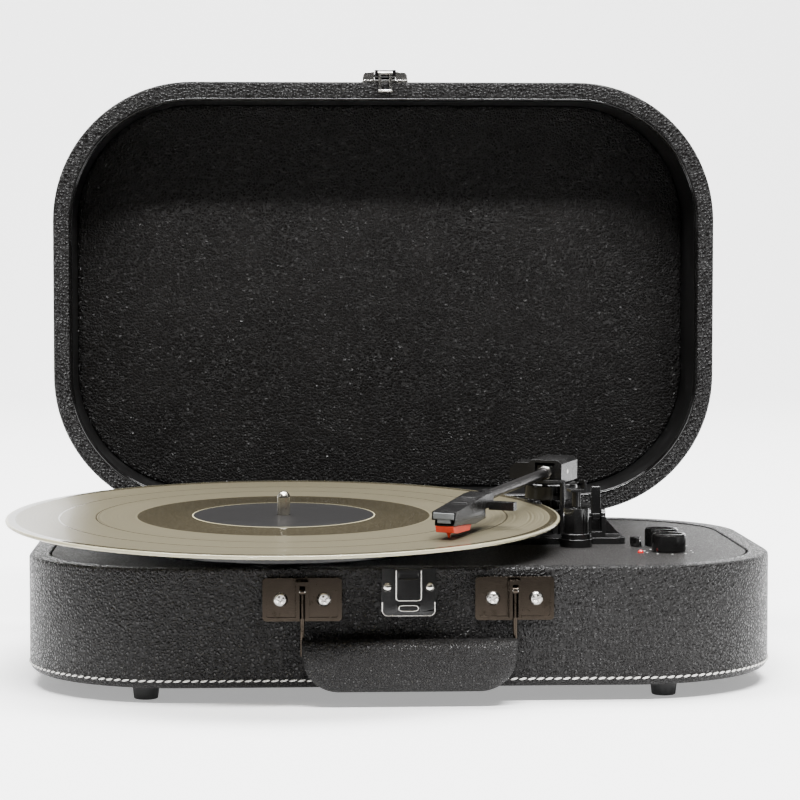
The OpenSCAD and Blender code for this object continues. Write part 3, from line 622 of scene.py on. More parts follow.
def loft(name: str, outline: Outline, profile: Sequence[Pair], place: Place, finish: Finish,
         closed: bool, smooth_angle: float = 40.0) -> bpy.types.Object:
    """Sweeps a profile round an outline.

    Args:
        name: Name of the piece.
        outline: The outline.
        profile: Pairs of inset and height.
        place: Turns outline X, outline Y and height into a place.
        finish: The finish.
        closed: True joins the profile's ends; False caps both ends flat.
        smooth_angle: Edges flatter than this are shaded smooth, in degrees.

    Returns:
        The new object.
    """
    rings = [[place(x, y, h) for x, y in outline.points(inset)] for inset, h in profile]
    count = len(rings[0])
    verts = [v for ring in rings for v in ring]
    faces: List[Sequence[int]] = []
    spans = len(rings) if closed else len(rings) - 1
    for i in range(spans):
        faces += skin(i * count, (i + 1) % len(rings) * count, count)
    if not closed:
        faces += caps(0, len(rings), count)
    return as_object(name, verts, faces, finish, smooth_angle)


def lathe(name: str, profile: Sequence[Pair], finish: Finish, steps: int = 192,
          smooth_angle: float = 30.0) -> bpy.types.Object:
    """Turns a closed profile round the Z axis.

    Args:
        name: Name of the piece.
        profile: Pairs of radius and height.
        finish: The finish.
        steps: Steps round the axis.
        smooth_angle: Edges flatter than this are shaded smooth, in degrees.

    Returns:
        The new object at the origin.
    """
    verts = [(r * math.cos(2 * math.pi * i / steps), r * math.sin(2 * math.pi * i / steps), h)
             for r, h in profile for i in range(steps)]
    faces: List[Sequence[int]] = []
    for k in range(len(profile)):
        faces += skin(k * steps, (k + 1) % len(profile) * steps, steps)
    return as_object(name, verts, faces, finish, smooth_angle)


def tube(name: str, route: Sequence[Vector], radius: float, finish: Finish, sides: int = 8) -> bpy.types.Object:
    """A round wire along a route.

    Args:
        name: Name of the piece.
        route: Places along its middle.
        radius: Its radius.
        finish: The finish.
        sides: Sides round it.

    Returns:
        The new object.
    """
    verts: List[Vector] = []
    faces: List[Sequence[int]] = []
    for i, at in enumerate(route):
        ahead = (route[min(i + 1, len(route) - 1)] - route[max(i - 1, 0)]).normalized()
        side = ahead.orthogonal().normalized() if i == 0 else (side - ahead * side.dot(ahead)).normalized()
        up = ahead.cross(side)
        verts += [at + radius * (side * math.cos(t) + up * math.sin(t)) for t in turns(sides)]
    for i in range(len(route) - 1):
        faces += skin(i * sides, (i + 1) * sides, sides)
    faces += caps(0, len(route), sides)
    return as_object(name, verts, faces, finish, 60.0)


EASE_ANGLE = math.radians(32)
FLAT_ANGLE = math.radians(0.5)


def ease(piece: bpy.types.Object, width: float, steps: int) -> bpy.types.Modifier:
    """Rounds a piece's edges to a width in some steps."""
    bevel = piece.modifiers.new("ease", "BEVEL")
    bevel.width = width
    bevel.segments = steps
    return bevel


def eased(node: str, width: float, finish: Finish) -> bpy.types.Object:
    """A detailed copy of a CAD node with eased edges, which stands for it.

    Args:
        node: The CAD node.
        width: Width of the eased edges.
        finish: The finish.

    Returns:
        The new object, riding on the node's body.
    """
    tool = bmesh.new()
    tool.from_mesh(frame["nodes"][node].data)
    bmesh.ops.remove_doubles(tool, verts=tool.verts, dist=1e-6)
    bmesh.ops.dissolve_limit(tool, angle_limit=FLAT_ANGLE, verts=tool.verts, edges=tool.edges)
    mesh = bpy.data.meshes.new(node + "_eased")
    tool.to_mesh(mesh)
    tool.free()
    piece = from_mesh(node + "_eased", mesh, finish, 30.0)
    bevel = ease(piece, width, 2)
    bevel.limit_method = "ANGLE"
    bevel.angle_limit = EASE_ANGLE
    even = piece.modifiers.new("even", "WEIGHTED_NORMAL")
    even.weight = 100
    even.keep_sharp = True
    return attach(piece, node)


def attach(piece: bpy.types.Object, *nodes: str, replace: bool = True) -> bpy.types.Object:
    """Rides a piece on the body of some CAD nodes and stands it for them.

    Args:
        piece: The piece.
        nodes: The CAD nodes.
        replace: False only rides.

    Returns:
        The same piece.
    """
    body = next(b for b, names in frame["record"]["behaviour"]["bodies"].items() if nodes[0] in names)
    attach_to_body(piece, body)
    if replace:
        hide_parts(*nodes)
    return piece


def dress(finish: Finish, *nodes: str) -> None:
    """Gives CAD nodes a finish.

    Args:
        finish: The finish.
        nodes: The nodes.
    """
    for name in nodes:
        mesh = frame["nodes"][name].data
        mesh.materials.clear()
        mesh.materials.append(material(finish))
        for polygon in mesh.polygons:
            polygon.material_index = 0


def joint(name: str) -> Tuple[Vector, Vector]:
    """A hinge's place and axis at rest.

    Args:
        name: The joint.

    Returns:
        Place and unit axis.
    """
    found = next(j for j in frame["record"]["behaviour"]["joints"] if j["name"] == name)
    return Vector(found["pos_m"]), Vector(found["axis"]).normalized()


def box(node: str) -> Tuple[Vector, Vector, Vector]:
    """Lowest corner, highest corner and middle of a CAD node's box."""
    low, high = (Vector(corner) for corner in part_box(node))
    return low, high, (low + high) / 2


def brick(name: str, low: Sequence[float], high: Sequence[float], place: Place, finish: Finish,
          width: float) -> bpy.types.Object:
    """A small block with eased edges.

    Args:
        name: Name of the piece.
        low: Its lowest corner, in its own frame.
        high: Its highest corner.
        place: Turns its own frame into the machine's.
        finish: The finish.
        width: Width of its eased edges.

    Returns:
        The new object.
    """
    corners = [(x, y, z) for x in (low[0], high[0]) for y in (low[1], high[1]) for z in (low[2], high[2])]
    faces = [(0, 1, 3, 2), (4, 6, 7, 5), (0, 4, 5, 1), (2, 3, 7, 6), (0, 2, 6, 4), (1, 5, 7, 3)]
    piece = as_object(name, [place(*c) for c in corners], faces, finish)
    ease(piece, width, 3)
    return piece


def upright(x: float, y: float, z: float) -> Vector:
    """A place that is already in the machine's frame."""
    return Vector((x, y, z))


# ------------------------------------------------------------------ case

@dataclass
class Stitching:
    """A row of slanted thread stitches along an outline."""

    pitch: float = 4.55 * MM
    length: float = 3.9 * MM
    thread: float = 0.58 * MM
    slant: float = 11.0
    rings: int = 5
    sides: int = 6

    def sew(self, name: str, outline: Outline, inset: float, place: Place) -> bpy.types.Object:
        """Sews the row.

        Args:
            name: Name of the piece.
            outline: The outline.
            inset: How far inside the outline the thread's middle runs.
            place: Turns outline X, outline Y and height into a place.

        Returns:
            All the stitches as one piece.
        """
        rise = math.tan(math.radians(self.slant))
        verts: List[Vector] = []
        faces: List[Sequence[int]] = []
        for (x, y), (dx, dy) in outline.walk(inset, self.pitch):
            centre = place(x, y, 0.0)
            along = (place(x + dx, y + dy, rise) - centre).normalized()
            across = (place(x + dy, y - dx, 0.0) - centre).normalized()
            up = along.cross(across).normalized()
            first = len(verts)
            for i in range(self.rings):
                t = -1 + 2 * i / (self.rings - 1)
                swell = self.thread * (0.25 + 0.75 * math.sqrt(max(0.0, 1 - t * t)))
                middle = centre + along * (t * self.length / 2)
                verts += [middle + swell * (across * math.cos(a) + up * math.sin(a)) for a in turns(self.sides)]
            for i in range(self.rings - 1):
                faces += skin(first + i * self.sides, first + (i + 1) * self.sides, self.sides)
            faces += caps(first, self.rings, self.sides)
        return as_object(name, verts, faces, Finish.THREAD, 80.0)


@dataclass
class Case:
    """The leather-covered base, its deck, feet and bottom."""

    corner: float = 84 * MM
    wall: float = 5 * MM
    rim: float = 11 * MM
    rim_t: float = 6 * MM
    low_edge: float = 4.5 * MM
    top_edge: float = 1.8 * MM
    stitch_up: float = 4.3 * MM
    stitching: Stitching = field(default_factory=Stitching)

    def __post_init__(self) -> None:
        """Reads the case's box from the frame."""
        self.low, self.high, self.middle = box("base_shell")
        size = self.high - self.low
        self.outline = Outline(size.x, size.y, self.corner, 24)

    def place(self, x: float, y: float, z: float) -> Vector:
        """Outline X and Y and a height above the case's underside, in the machine's frame."""
        return Vector((self.middle.x + x, self.middle.y + y, self.low.z + z))

    def shell(self) -> bpy.types.Object:
        """The covered wall with its soft edges."""
        h = self.high.z - self.low.z
        profile = arc((self.low_edge, self.low_edge), self.low_edge, 270, 180)
        profile += arc((self.top_edge, h - self.top_edge), self.top_edge, 180, 90)
        profile += arc((self.rim - MM, h - MM), MM, 90, 0, 4)
        profile += [(self.rim, h - self.rim_t), (self.wall, h - self.rim_t), (self.wall, 0)]
        return attach(loft("base_cover", self.outline, profile, self.place, Finish.CASE, True), "base_shell")

    def seam(self) -> bpy.types.Object:
        """The row of stitches round the foot of the cover."""
        sewn = self.stitching.sew("base_stitches", self.outline, -0.12 * MM,
                                  lambda x, y, z: self.place(x, y, self.stitch_up + z))
        return attach(sewn, "base_shell", replace=False)

    def build(self) -> List[bpy.types.Object]:
        """Makes the whole base.

        Returns:
            Its pieces.
        """
        dress(Finish.WOOD, "corner_posts")
        dress(Finish.CHROME, "foot_screws")
        dress(Finish.SATIN, "bottom_panel")
        return [self.shell(), self.seam(), eased("deck_panel", 0.5 * MM, Finish.DECK),
                eased("rubber_feet", 0.6 * MM, Finish.RUBBER)]


@dataclass
class Lid:
    """The open lid: cover, inner lining, lip and padded panel."""

    corner: float = 84 * MM
    rim: float = 10 * MM
    back: float = 3 * MM
    back_edge: float = 7 * MM
    rim_edge: float = 1.6 * MM
    pad_in: float = 1.2 * MM
    roll: float = 4.5 * MM
    crown: float = 1.1 * MM

    def __post_init__(self) -> None:
        """Reads the lid's box from the frame."""
        self.low, self.high, self.middle = box("lid_shell")
        size = self.high - self.low
        self.deep = size.y
        self.outline = Outline(size.x, size.z, self.corner, 24)

    def place(self, x: float, y: float, h: float) -> Vector:
        """Outline X and Y and a depth behind the rim, in the machine's frame."""
        return Vector((self.middle.x + x, self.low.y + h, self.middle.z + y))

    def cover(self) -> bpy.types.Object:
        """The leather-covered shell."""
        floor = self.deep - self.back
        profile: List[Pair] = [(30 * MM, self.deep)]
        profile += arc((self.back_edge, self.deep - self.back_edge), self.back_edge, 90, 180, 8)
        profile += arc((self.rim_edge, self.rim_edge), self.rim_edge, 180, 270)
        profile += arc((self.rim - 1.2 * MM, 1.2 * MM), 1.2 * MM, 270, 360)
        profile += [(self.rim, floor), (self.rim + 20 * MM, floor)]
        return attach(loft("lid_cover", self.outline, profile, self.place, Finish.CASE, False), "lid_shell")

    def lining(self) -> bpy.types.Object:
        """The smooth lining of the inner wall."""
        floor = self.deep - self.back
        near = self.rim + 0.05 * MM
        profile = [(near, 4.1 * MM), (near + 0.8 * MM, 4.1 * MM), (near + MM, 6 * MM),
                   (near + 1.1 * MM, floor - 0.1 * MM), (near, floor - 0.1 * MM)]
        piece = loft("lid_lining", self.outline, profile, self.place, Finish.LINING, True, 20.0)
        return attach(piece, "lid_shell", replace=False)

    def lip(self) -> bpy.types.Object:
        """The double bead round the mouth of the lining."""
        profile = arc((self.rim + 0.25 * MM, 0.8 * MM), 0.75 * MM, 170, 350)
        profile += arc((self.rim + 0.75 * MM, 2.3 * MM), 0.75 * MM, 300, 430)
        profile += [(self.rim + 0.9 * MM, 4 * MM), (self.rim + 0.06 * MM, 4 * MM)]
        return attach(loft("lid_lip", self.outline, profile, self.place, Finish.GLOSS, True, 35.0), "lid_trim")

    def pad(self) -> bpy.types.Object:
        """The padded panel, rolled down at its edge and crowned in the middle."""
        near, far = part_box("lid_liner")
        edge = self.rim + self.pad_in
        face = near[1] - self.low.y
        base = far[1] - self.low.y
        turn = [(edge + self.roll * (1 - math.cos(math.radians(a))),
                 base - 0.4 * MM - (base - face - 0.4 * MM) * math.sin(math.radians(a))) for a in range(0, 91, 10)]
        crown = [(edge + self.roll + run * MM, face - self.crown * (1 - math.exp(-run / 14)))
                 for run in (2, 5, 9, 14, 21, 30, 42, 60)]
        piece = loft("lid_pad", self.outline, [(edge, base)] + turn + crown, self.place, Finish.PAD, False, 60.0)
        attach(piece, "lid_liner")
        return piece

    def build(self) -> List[bpy.types.Object]:
        """Makes the whole lid.

        Returns:
            Its pieces.
        """
        return [self.cover(), self.lining(), self.lip(), self.pad()]


# ------------------------------------------------------------------ hardware

@dataclass
class Hardware:
    """Hinges, handle brackets and both halves of the latch."""

    edge: float = 0.35 * MM
    head_r: float = 3.5 * MM
    head_h: float = 1.7 * MM
    cross: float = 0.5 * MM
    trim: float = 0.33 * MM

    def screw_head(self, name: str, x: float, y: float, z: float, turn: float) -> bpy.types.Object:
        """A domed head with a cross recess, facing the front.

        Args:
            name: Name of the piece.
            x: Its middle, left to right.
            y: Where its rim sits.
            z: Its middle's height.
            turn: Turn of the recess in degrees.

        Returns:
            The new object.
        """
        rings, sides = 26, 96
        verts: List[Vector] = []
        faces: List[Sequence[int]] = []
        for i in range(rings + 1):
            r = self.head_r * i / rings
            dome = self.head_h * math.sqrt(max(0.0, 1 - (r / self.head_r) ** 2))
            for k in range(sides):
                a = 2 * math.pi * k / sides
                t = a + math.radians(turn)
                off = min(abs(r * math.cos(t)), abs(r * math.sin(t)))
                inside = max(0.0, min(1.0, (self.cross - off) / (0.3 * MM) + 0.5)) if r < 0.62 * self.head_r else 0.0
                depth = inside * self.head_h * 0.75 * (1 - (r / (0.64 * self.head_r)) ** 4)
                verts.append(Vector((x + r * math.cos(a), y - dome + depth, z + r * math.sin(a))))
        for i in range(rings):
            a, b = i * sides, (i + 1) * sides
            faces += [(a + k, b + k, b + (k + 1) % sides, a + (k + 1) % sides) for k in range(sides)]
        return attach(as_object(name, verts, faces, Finish.CHROME, 35.0), "bracket_screws", replace=False)

    def heads(self) -> List[bpy.types.Object]:
        """The four bracket screw heads."""
        low, high, _ = box("bracket_screws")
        r = (high.z - low.z) / 2
        across = 22.2 * MM
        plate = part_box("handle_brackets")[1][1] - 1.6 * MM
        places = [low.x + r, low.x + r + across, high.x - r - across, high.x - r]
        return [self.screw_head(f"screw_head_{i + 1}", x, plate, low.z + r, 20 + 17 * i)
                for i, x in enumerate(places)]

    def rail(self, name: str, points: Sequence[Pair], y: float) -> bpy.types.Object:
        """A thin bright bead on the latch plate along points given across and down from its top middle.

        Args:
            name: Name of the piece.
            points: Places along the bead in mm.
            y: Depth of its middle.

        Returns:
            The new object.
        """
        _, high, middle = box("latch_plate")
        route = [Vector((middle.x + x * MM, y, high.z - d * MM)) for x, d in points]
        return attach(tube(name, route, self.trim, Finish.CHROME), "latch_plate", replace=False)

    def latch_beads(self) -> List[bpy.types.Object]:
        """Beads round the tongue, the pressed oval and the plate's lower edge."""
        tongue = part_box("latch_plate")[0][1]
        plate = tongue + 1.8 * MM

        def corner(x: float, d: float, r: float, start: float) -> List[Pair]:
            return [(x + r * math.cos(math.radians(a)), d + r * math.sin(math.radians(a)))
                    for a in (start + 15 * i for i in range(7))]

        around = [(-6.4, 1.0)] + corner(-4.9, 15.0, 1.5, 90)[::-1] + corner(4.9, 15.0, 1.5, 0)[::-1] + [(6.4, 1.0)]
        oval = [(5.0 * math.copysign(abs(math.cos(a)) ** 0.5, math.cos(a)),
                 20.6 + 1.5 * math.copysign(abs(math.sin(a)) ** 0.7, math.sin(a)))
                for a in (2 * math.pi * i / 40 for i in range(41))]
        foot = [(-13.5, 17.5)] + corner(-10.7, 21.7, 2.8, 90)[::-1] + corner(10.7, 21.7, 2.8, 0)[::-1] + [(13.5, 17.5)]
        return [self.rail("tongue_bead", around, tongue), self.rail("oval_bead", oval, plate - 0.55 * MM),
                self.rail("plate_bead", foot, plate)]

    def build(self) -> List[bpy.types.Object]:
        """Makes the hardware.

        Returns:
            Its pieces.
        """
        dark = ["hinge_base_leaves", "hinge_lid_leaves", "handle_brackets"]
        bright = ["bracket_screws", "lid_latch_base", "latch_loop", "hinge_base_screws", "hinge_lid_screws"]
        dress(Finish.CHROME, "hinge_pins", "bracket_pins", "latch_rivets")
        pieces = [eased(node, self.edge, Finish.NICKEL) for node in dark]
        pieces += [eased(node, self.edge * 0.6, Finish.CHROME) for node in bright]
        pieces += [eased("handle_wires", self.edge, Finish.NICKEL), eased("latch_plate", self.edge, Finish.GLOSS),
                   eased("latch_lever", self.edge, Finish.GLOSS)]
        return pieces + self.heads() + self.latch_beads()


@dataclass
class Grip:
    """The stuffed leather grip: full in the middle, its lower corners swept up to the wires."""

    corner: float = 19 * MM
    steps: int = 56
    sides: int = 48
    squareness: float = 2.7
    end: float = 4 * MM

    def build(self) -> List[bpy.types.Object]:
        """Makes the grip.

        Returns:
            Its pieces.
        """
        low, high, middle = box("handle_grip")
        half = (high.x - low.x) / 2
        power = 2 / self.squareness
        verts: List[Vector] = []
        faces: List[Sequence[int]] = []
        for i in range(self.steps + 1):
            x = -half * math.cos(math.pi * i / self.steps)
            past = max(0.0, abs(x) - (half - self.corner))
            foot = low.z + self.corner - math.sqrt(max(0.0, self.corner ** 2 - past ** 2))
            near_end = max(0.0, abs(x) - (half - self.end)) / self.end
            full = 0.55 + 0.45 * math.sqrt(max(0.0, 1 - near_end ** 2))
            tall = max((high.z - foot) / 2, 2 * MM)
            thick = (high.y - low.y) / 2 * full
            for a in turns(self.sides):
                c, s = math.cos(a), math.sin(a)
                y = thick * math.copysign(abs(c) ** power, c)
                z = tall * math.copysign(abs(s) ** power, s)
                verts.append(Vector((middle.x + x, middle.y + y, high.z - tall + z)))
        for i in range(self.steps):
            faces += skin(i * self.sides, (i + 1) * self.sides, self.sides)
        faces += caps(0, self.steps + 1, self.sides)
        piece = attach(as_object("grip_leather", verts, faces, Finish.GRIP, 70.0), "handle_grip")
        return [piece]


# ------------------------------------------------------------------ playing mechanism

@dataclass
class Turntable:
    """The record, its label, the platter and the drive under it."""

    record_r: float = 151 * MM
    record_t: float = 2 * MM
    label_r: float = 50 * MM
    hole_r: float = 3.6 * MM
    label_t: float = 0.2 * MM

    def set_down(self, piece: bpy.types.Object, node: str) -> bpy.types.Object:
        """Moves a turned piece onto the spindle's axis and stands it for a node.

        Args:
            piece: A piece made round the Z axis.
            node: The CAD node.

        Returns:
            The same piece.
        """
        at, axis = joint("platter_spin")
        up = -axis
        piece.matrix_world = Matrix.Translation(at) @ Matrix.Rotation(math.atan2(-up.y, up.z), 4, "X")
        bpy.context.view_layer.update()
        return attach(piece, node)

    def record(self) -> bpy.types.Object:
        """The smoky record with its bead, bands and label recess."""
        top, low = self.record_t, self.record_t - self.label_t
        r = self.record_r
        profile: List[Pair] = [(self.hole_r, 0), (self.label_r, 0), (r - MM, 0)]
        profile += arc((r - 0.9 * MM, 0.9 * MM), 0.9 * MM, -80, 0, 4) + arc((r - 0.9 * MM, top - 0.9 * MM), 0.9 * MM,
                                                                            10, 90, 4)
        profile += [(r - 4.5 * MM, top), (r - 6 * MM, low), (r - 30 * MM, low), (r - 60 * MM, low),
                    (self.label_r + 9 * MM, low), (self.label_r + 7 * MM, top), (self.label_r + 0.15 * MM, top),
                    (self.label_r, low), (self.hole_r, low)]
        return self.set_down(lathe("record_vinyl", profile, Finish.VINYL), "record_disc")

    def label(self) -> bpy.types.Object:
        """The paper label."""
        top, low = self.record_t + 0.02 * MM, self.record_t - self.label_t + 0.01 * MM
        edge = self.label_r - 0.1 * MM
        profile = [(self.hole_r, low), (edge, low), (edge, top - 0.05 * MM), (edge - 0.2 * MM, top),
                   (edge / 2, top), (self.hole_r, top)]
        return self.set_down(lathe("record_paper_label", profile, Finish.LABEL, 96), "record_label")

    def build(self) -> List[bpy.types.Object]:
        """Makes the turntable.

        Returns:
            Its pieces.
        """
        dress(Finish.SPINDLE, "spindle")
        dress(Finish.FELT, "slip_mat")
        dress(Finish.RUBBER, "drive_belt", "isolation_mounts")
        dress(Finish.BRASS, "platter_bearing", "motor_pulley")
        dress(Finish.ZINC, "sub_chassis", "motor")
        return [self.record(), self.label(), eased("platter", 0.6 * MM, Finish.SATIN)]


@dataclass
class Tonearm:
    """The arm with its housing, headshell, cartridge, rest and lift."""

    drop: float = 1.0
    length: float = 161 * MM
    head_w: float = 13 * MM
    wire: float = 0.28 * MM
    eases: Tuple[Tuple[str, float, Finish], ...] = (
        ("tonearm_base", 0.8, Finish.SATIN), ("arm_bearing", 0.4, Finish.GLOSS), ("arm_housing", 0.7, Finish.SATIN),
        ("armrest", 0.35, Finish.GLOSS), ("cue_bracket", 0.35, Finish.SATIN), ("cue_lever", 0.6, Finish.SATIN),
        ("lift_bar", 0.25, Finish.SATIN), ("arm_tube", 0.2, Finish.TUBE), ("headshell", 0.7, Finish.SATIN),
        ("cartridge", 0.5, Finish.GLOSS), ("stylus_holder", 0.3, Finish.RED))

    def __post_init__(self) -> None:
        """Works out the tube's own frame from the joints."""
        self.pivot, axis = joint("arm_lift")
        side = -axis
        _, up = joint("arm_swing")
        forward = side.cross(up).normalized()
        tilt = math.radians(self.drop)
        self.side = side
        self.forward = forward * math.cos(tilt) - up * math.sin(tilt)
        self.up = up * math.cos(tilt) + forward * math.sin(tilt)

    def place(self, x: float, y: float, z: float) -> Vector:
        """A place in the tube's frame: X towards the needle, Y to its left, Z up."""
        return self.pivot + self.forward * x + self.side * y + self.up * z

    def nose(self) -> List[bpy.types.Object]:
        """The grey clip on the headshell's front and the step under it."""
        tip = self.length + 7.2 * MM
        half = self.head_w / 2
        clip = brick("head_clip", (tip - MM, 0.8 * MM - half, -3.4 * MM), (tip + 0.7 * MM, half - 0.8 * MM, -0.2 * MM),
                     self.place, Finish.GREY, 0.3 * MM)
        tab = brick("head_clip_tab", (tip - 1.5 * MM, 3 * MM - half, -5.6 * MM),
                    (tip + 0.4 * MM, half - 3 * MM, -3.2 * MM), self.place, Finish.GREY, 0.25 * MM)
        return [clip, tab]

    def wires(self) -> List[bpy.types.Object]:
        """The four thin leads that loop from the cartridge up to the headshell."""
        made = []
        back = self.length - 40 * MM
        for i in range(4):
            y = (i - 1.5) * 2.3 * MM
            sag = (5.0 + 0.8 * (i % 2)) * MM
            route = []
            for step in range(13):
                t = step / 12
                x = back + 0.3 * MM - sag * math.sin(math.pi * t)
                z = (-8.4 + 4.2 * t) * MM - 1.6 * MM * math.sin(2 * math.pi * t)
                route.append(self.place(x, y + 0.6 * MM * math.sin(3 * math.pi * t), z))
            made.append(tube(f"head_lead_{i + 1}", route, self.wire, Finish.CHROME))
        return made

    def trims(self) -> List[bpy.types.Object]:
        """Rings on the tube's collar and ribs on the headshell."""
        made = []
        for i in range(2):
            at = (10.5 + 2.2 * i) * MM
            ring = [self.place(at, 3.65 * MM * math.cos(a), 3.65 * MM * math.sin(a))
                    for a in (2 * math.pi * k / 32 for k in range(33))]
            made.append(tube(f"collar_ring_{i + 1}", ring, 0.32 * MM, Finish.CHROME))
        for i in range(2):
            x = self.length - (16 + 13 * i) * MM
            top = (3.4 - 3.2 * (x - self.length + 39 * MM) / (46 * MM)) * MM
            made.append(brick(f"head_rib_{i + 1}", (x, -4.2 * MM, top - 0.6 * MM),
                              (x + 1.2 * MM, 4.2 * MM, top + 0.35 * MM), self.place, Finish.SATIN, 0.25 * MM))
        return made

    def build(self) -> List[bpy.types.Object]:
        """Makes the tonearm.

        Returns:
            Its pieces.
        """
        dress(Finish.CHROME, "swing_shaft", "lift_pin")
        dress(Finish.SATIN, "arm_block")
        made = [eased(node, width * MM, finish) for node, width, finish in self.eases]
        details = self.nose() + self.wires() + self.trims()
        return made + [attach(piece, "headshell", replace=False) for piece in details]


@dataclass
class Controls:
    """Knobs, switch, lamp and the printed marks beside them."""

    dot: float = 0.45 * MM
    ink: float = 0.12 * MM
    dots: int = 9
    ring: float = 13.2 * MM
    sweep: float = 140.0

    def mark(self, name: str, x: float, y: float, wide: float, deep: float) -> bpy.types.Object:
        """A thin printed bar on the deck.

        Args:
            name: Name of the piece.
            x: Its middle, left to right.
            y: Its middle, front to back.
            wide: Its width.
            deep: Its depth.

        Returns:
            The new object.
        """
        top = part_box("deck_panel")[1][2]
        piece = brick(name, (x - wide / 2, y - deep / 2, top - 0.05 * MM), (x + wide / 2, y + deep / 2, top + self.ink),
                      upright, Finish.INK, 0.05 * MM)
        return attach(piece, "deck_panel", replace=False)

    def build(self) -> List[bpy.types.Object]:
        """Makes the controls.

        Returns:
            Its pieces.
        """
        dress(Finish.LAMP, "power_indicator")
        dress(Finish.ZINC, "potentiometers")
        made = [eased("volume_knob", 0.5 * MM, Finish.GLOSS), eased("source_knob", 0.5 * MM, Finish.GLOSS),
                eased("mode_switch", 0.4 * MM, Finish.GLOSS)]
        knob = box("volume_knob")[2]
        for i in range(self.dots):
            a = math.radians(-90 + self.sweep * (2 * i / (self.dots - 1) - 1))
            made.append(self.mark(f"volume_mark_{i + 1}", knob.x + self.ring * math.cos(a),
                                  knob.y + self.ring * math.sin(a), 2 * self.dot, 2 * self.dot))
        source = box("source_knob")[2]
        for i, a in enumerate((30, 0, -30)):
            made.append(self.mark(f"source_mark_{i + 1}", source.x + self.ring * math.cos(math.radians(a)),
                                  source.y + self.ring * math.sin(math.radians(a)), 2.4 * MM, 0.6 * MM))
        return made


@dataclass
class Electronics:
    """Board, speakers and the sockets at the back."""

    def build(self) -> List[bpy.types.Object]:
        """Makes the electronics.

        Returns:
            Its pieces.
        """
        dress(Finish.BOARD, "circuit_board")
        dress(Finish.CHIP, "board_parts")
        dress(Finish.ZINC, "speaker_frames")
        dress(Finish.CONE, "speaker_cones")
        dress(Finish.CHROME, "sockets")
        return [eased("jack_panel", 0.4 * MM, Finish.SATIN)]


# ------------------------------------------------------------------ studio

@dataclass(frozen=True)
class Lamp:
    """A soft rectangular light: where it stands, what it points at, its size and its watts."""

    name: str
    at: Tuple[float, float, float]
    aim: Tuple[float, float, float]
    size: Pair
    power: float

    def hang(self) -> None:
        """Puts the light in the scene."""
        data = bpy.data.lights.new(self.name, "AREA")
        data.shape = "RECTANGLE"
        data.size, data.size_y = self.size
        data.energy = self.power
        lamp = bpy.data.objects.new(self.name, data)
        lamp.location = self.at
        lamp.rotation_euler = (Vector(self.aim) - Vector(self.at)).to_track_quat("-Z", "Y").to_euler()
        bpy.context.scene.collection.objects.link(lamp)


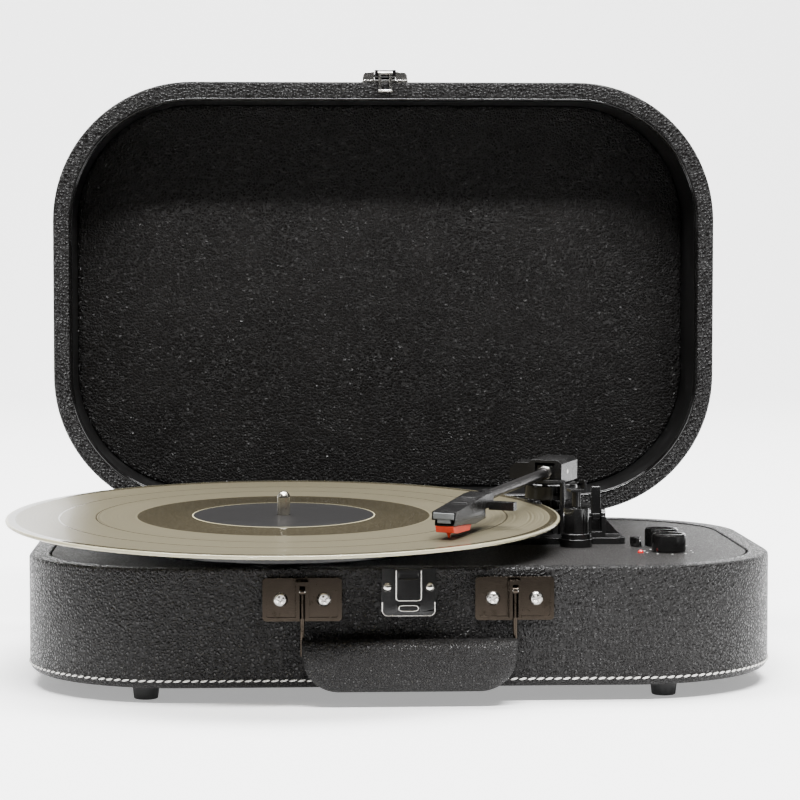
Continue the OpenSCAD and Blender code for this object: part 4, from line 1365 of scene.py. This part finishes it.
@dataclass
class Studio:
    """Pale floor with painted shade far in front and to the sides, soft light and the camera."""

    lens: float = 123.7
    eye: Tuple[float, float, float] = (-0.068, -1.5355, 0.235)
    down: float = 3.22
    turn: float = 2.89
    floor: Colour = (0.93, 0.93, 0.93)
    # Colour of the painted shade on the floor far in front and to the sides.
    painted_floor_shade: Colour = (0.03, 0.03, 0.03)
    glow: float = 0.45
    fade_y: Pair = (-0.50, -0.40)
    fade_x: Pair = (0.36, 0.56)
    wall_y: Pair = (0.5, 1.3)
    reach: float = 6.0
    sweep_r: float = 1.5
    haze: float = 0.03
    wall: float = 2.6
    sensor: float = 36.0
    far: float = 50.0
    lamps: Tuple[Lamp, ...] = (
        Lamp("overhead", (0.0, 0.15, 2.3), (0, 0.0, 0), (2.4, 1.0), 190),
        Lamp("wall_wash", (0.0, 1.2, 2.6), (0, 3.6, 0.7), (4.5, 0.8), 330),
        Lamp("left_box", (-1.9, -0.5, 0.9), (0, 0, 0.14), (0.5, 0.9), 3),
        Lamp("right_box", (1.9, -0.4, 1.0), (0, 0, 0.14), (0.4, 0.9), 2),
        Lamp("front_strip", (0.1, -1.2, 1.9), (0, -0.1, 0.06), (1.3, 0.16), 125))

    def camera(self) -> None:
        """Places the camera."""
        data = bpy.data.cameras.new("camera")
        data.lens = self.lens
        data.sensor_width = self.sensor
        data.clip_end = self.far
        eye = bpy.data.objects.new("camera", data)
        eye.location = self.eye
        eye.rotation_euler = (math.radians(90 - self.down), 0.0, math.radians(-self.turn))
        bpy.context.scene.collection.objects.link(eye)
        bpy.context.scene.camera = eye

    def backdrop(self) -> None:
        """The floor, curving up into a wall behind, painted dark as shade far in front and to the sides."""
        g = Graph("paper_sweep")
        across, ahead, _ = g.axes()
        # Painted shade: far in front and to the sides the floor's colour fades to near black and its glow stops.
        beside = (across * across).ramp(*self.fade_x) * (1 - ahead.ramp(*self.wall_y))
        lit = ahead.ramp(*self.fade_y) * (1 - beside)
        sheet = g.finish({"Base Color": g.blend(lit, rgba(self.painted_floor_shade), rgba(self.floor)), "Roughness": 0.85,
                          "Emission Color": g.blend(lit, rgba((0, 0, 0)), rgba(self.floor)),
                          "Emission Strength": self.glow})
        side = [(-self.reach, 0.0)] + [(self.wall + self.sweep_r * math.sin(a), self.sweep_r * (1 - math.cos(a)))
                                       for a in (math.pi / 2 * i / 24 for i in range(25))]
        side.append((self.wall + self.sweep_r, self.reach))
        verts = [(x, y, z) for x in (-self.reach, self.reach) for y, z in side]
        count = len(side)
        faces = [(i, i + 1, count + i + 1, count + i) for i in range(count - 1)]
        mesh = bpy.data.meshes.new("backdrop")
        mesh.from_pydata(verts, [], faces)
        for polygon in mesh.polygons:
            polygon.use_smooth = True
        mesh.materials.append(sheet)
        stage = bpy.data.objects.new("backdrop", mesh)
        bpy.context.scene.collection.objects.link(stage)

    def build(self) -> None:
        """Makes the studio."""
        self.camera()
        self.backdrop()
        world = bpy.data.worlds.new("studio")
        world.use_nodes = True
        world.node_tree.nodes["Background"].inputs[0].default_value = (1, 1, 1, 1)
        world.node_tree.nodes["Background"].inputs[1].default_value = self.haze
        bpy.context.scene.world = world
        for lamp in self.lamps:
            lamp.hang()


def main() -> None:
    """Builds everything and reports each piece."""
    Studio().build()
    for part in (Case(), Lid(), Hardware(), Grip(), Turntable(), Tonearm(), Controls(), Electronics()):
        for piece in part.build():
            LOG.info("%s: %s with %d faces", type(part).__name__, piece.name, len(piece.data.polygons))
    bpy.context.view_layer.update()


if __name__ == "__main__":
    logging.basicConfig(level=logging.INFO, format="%(message)s")
    main()
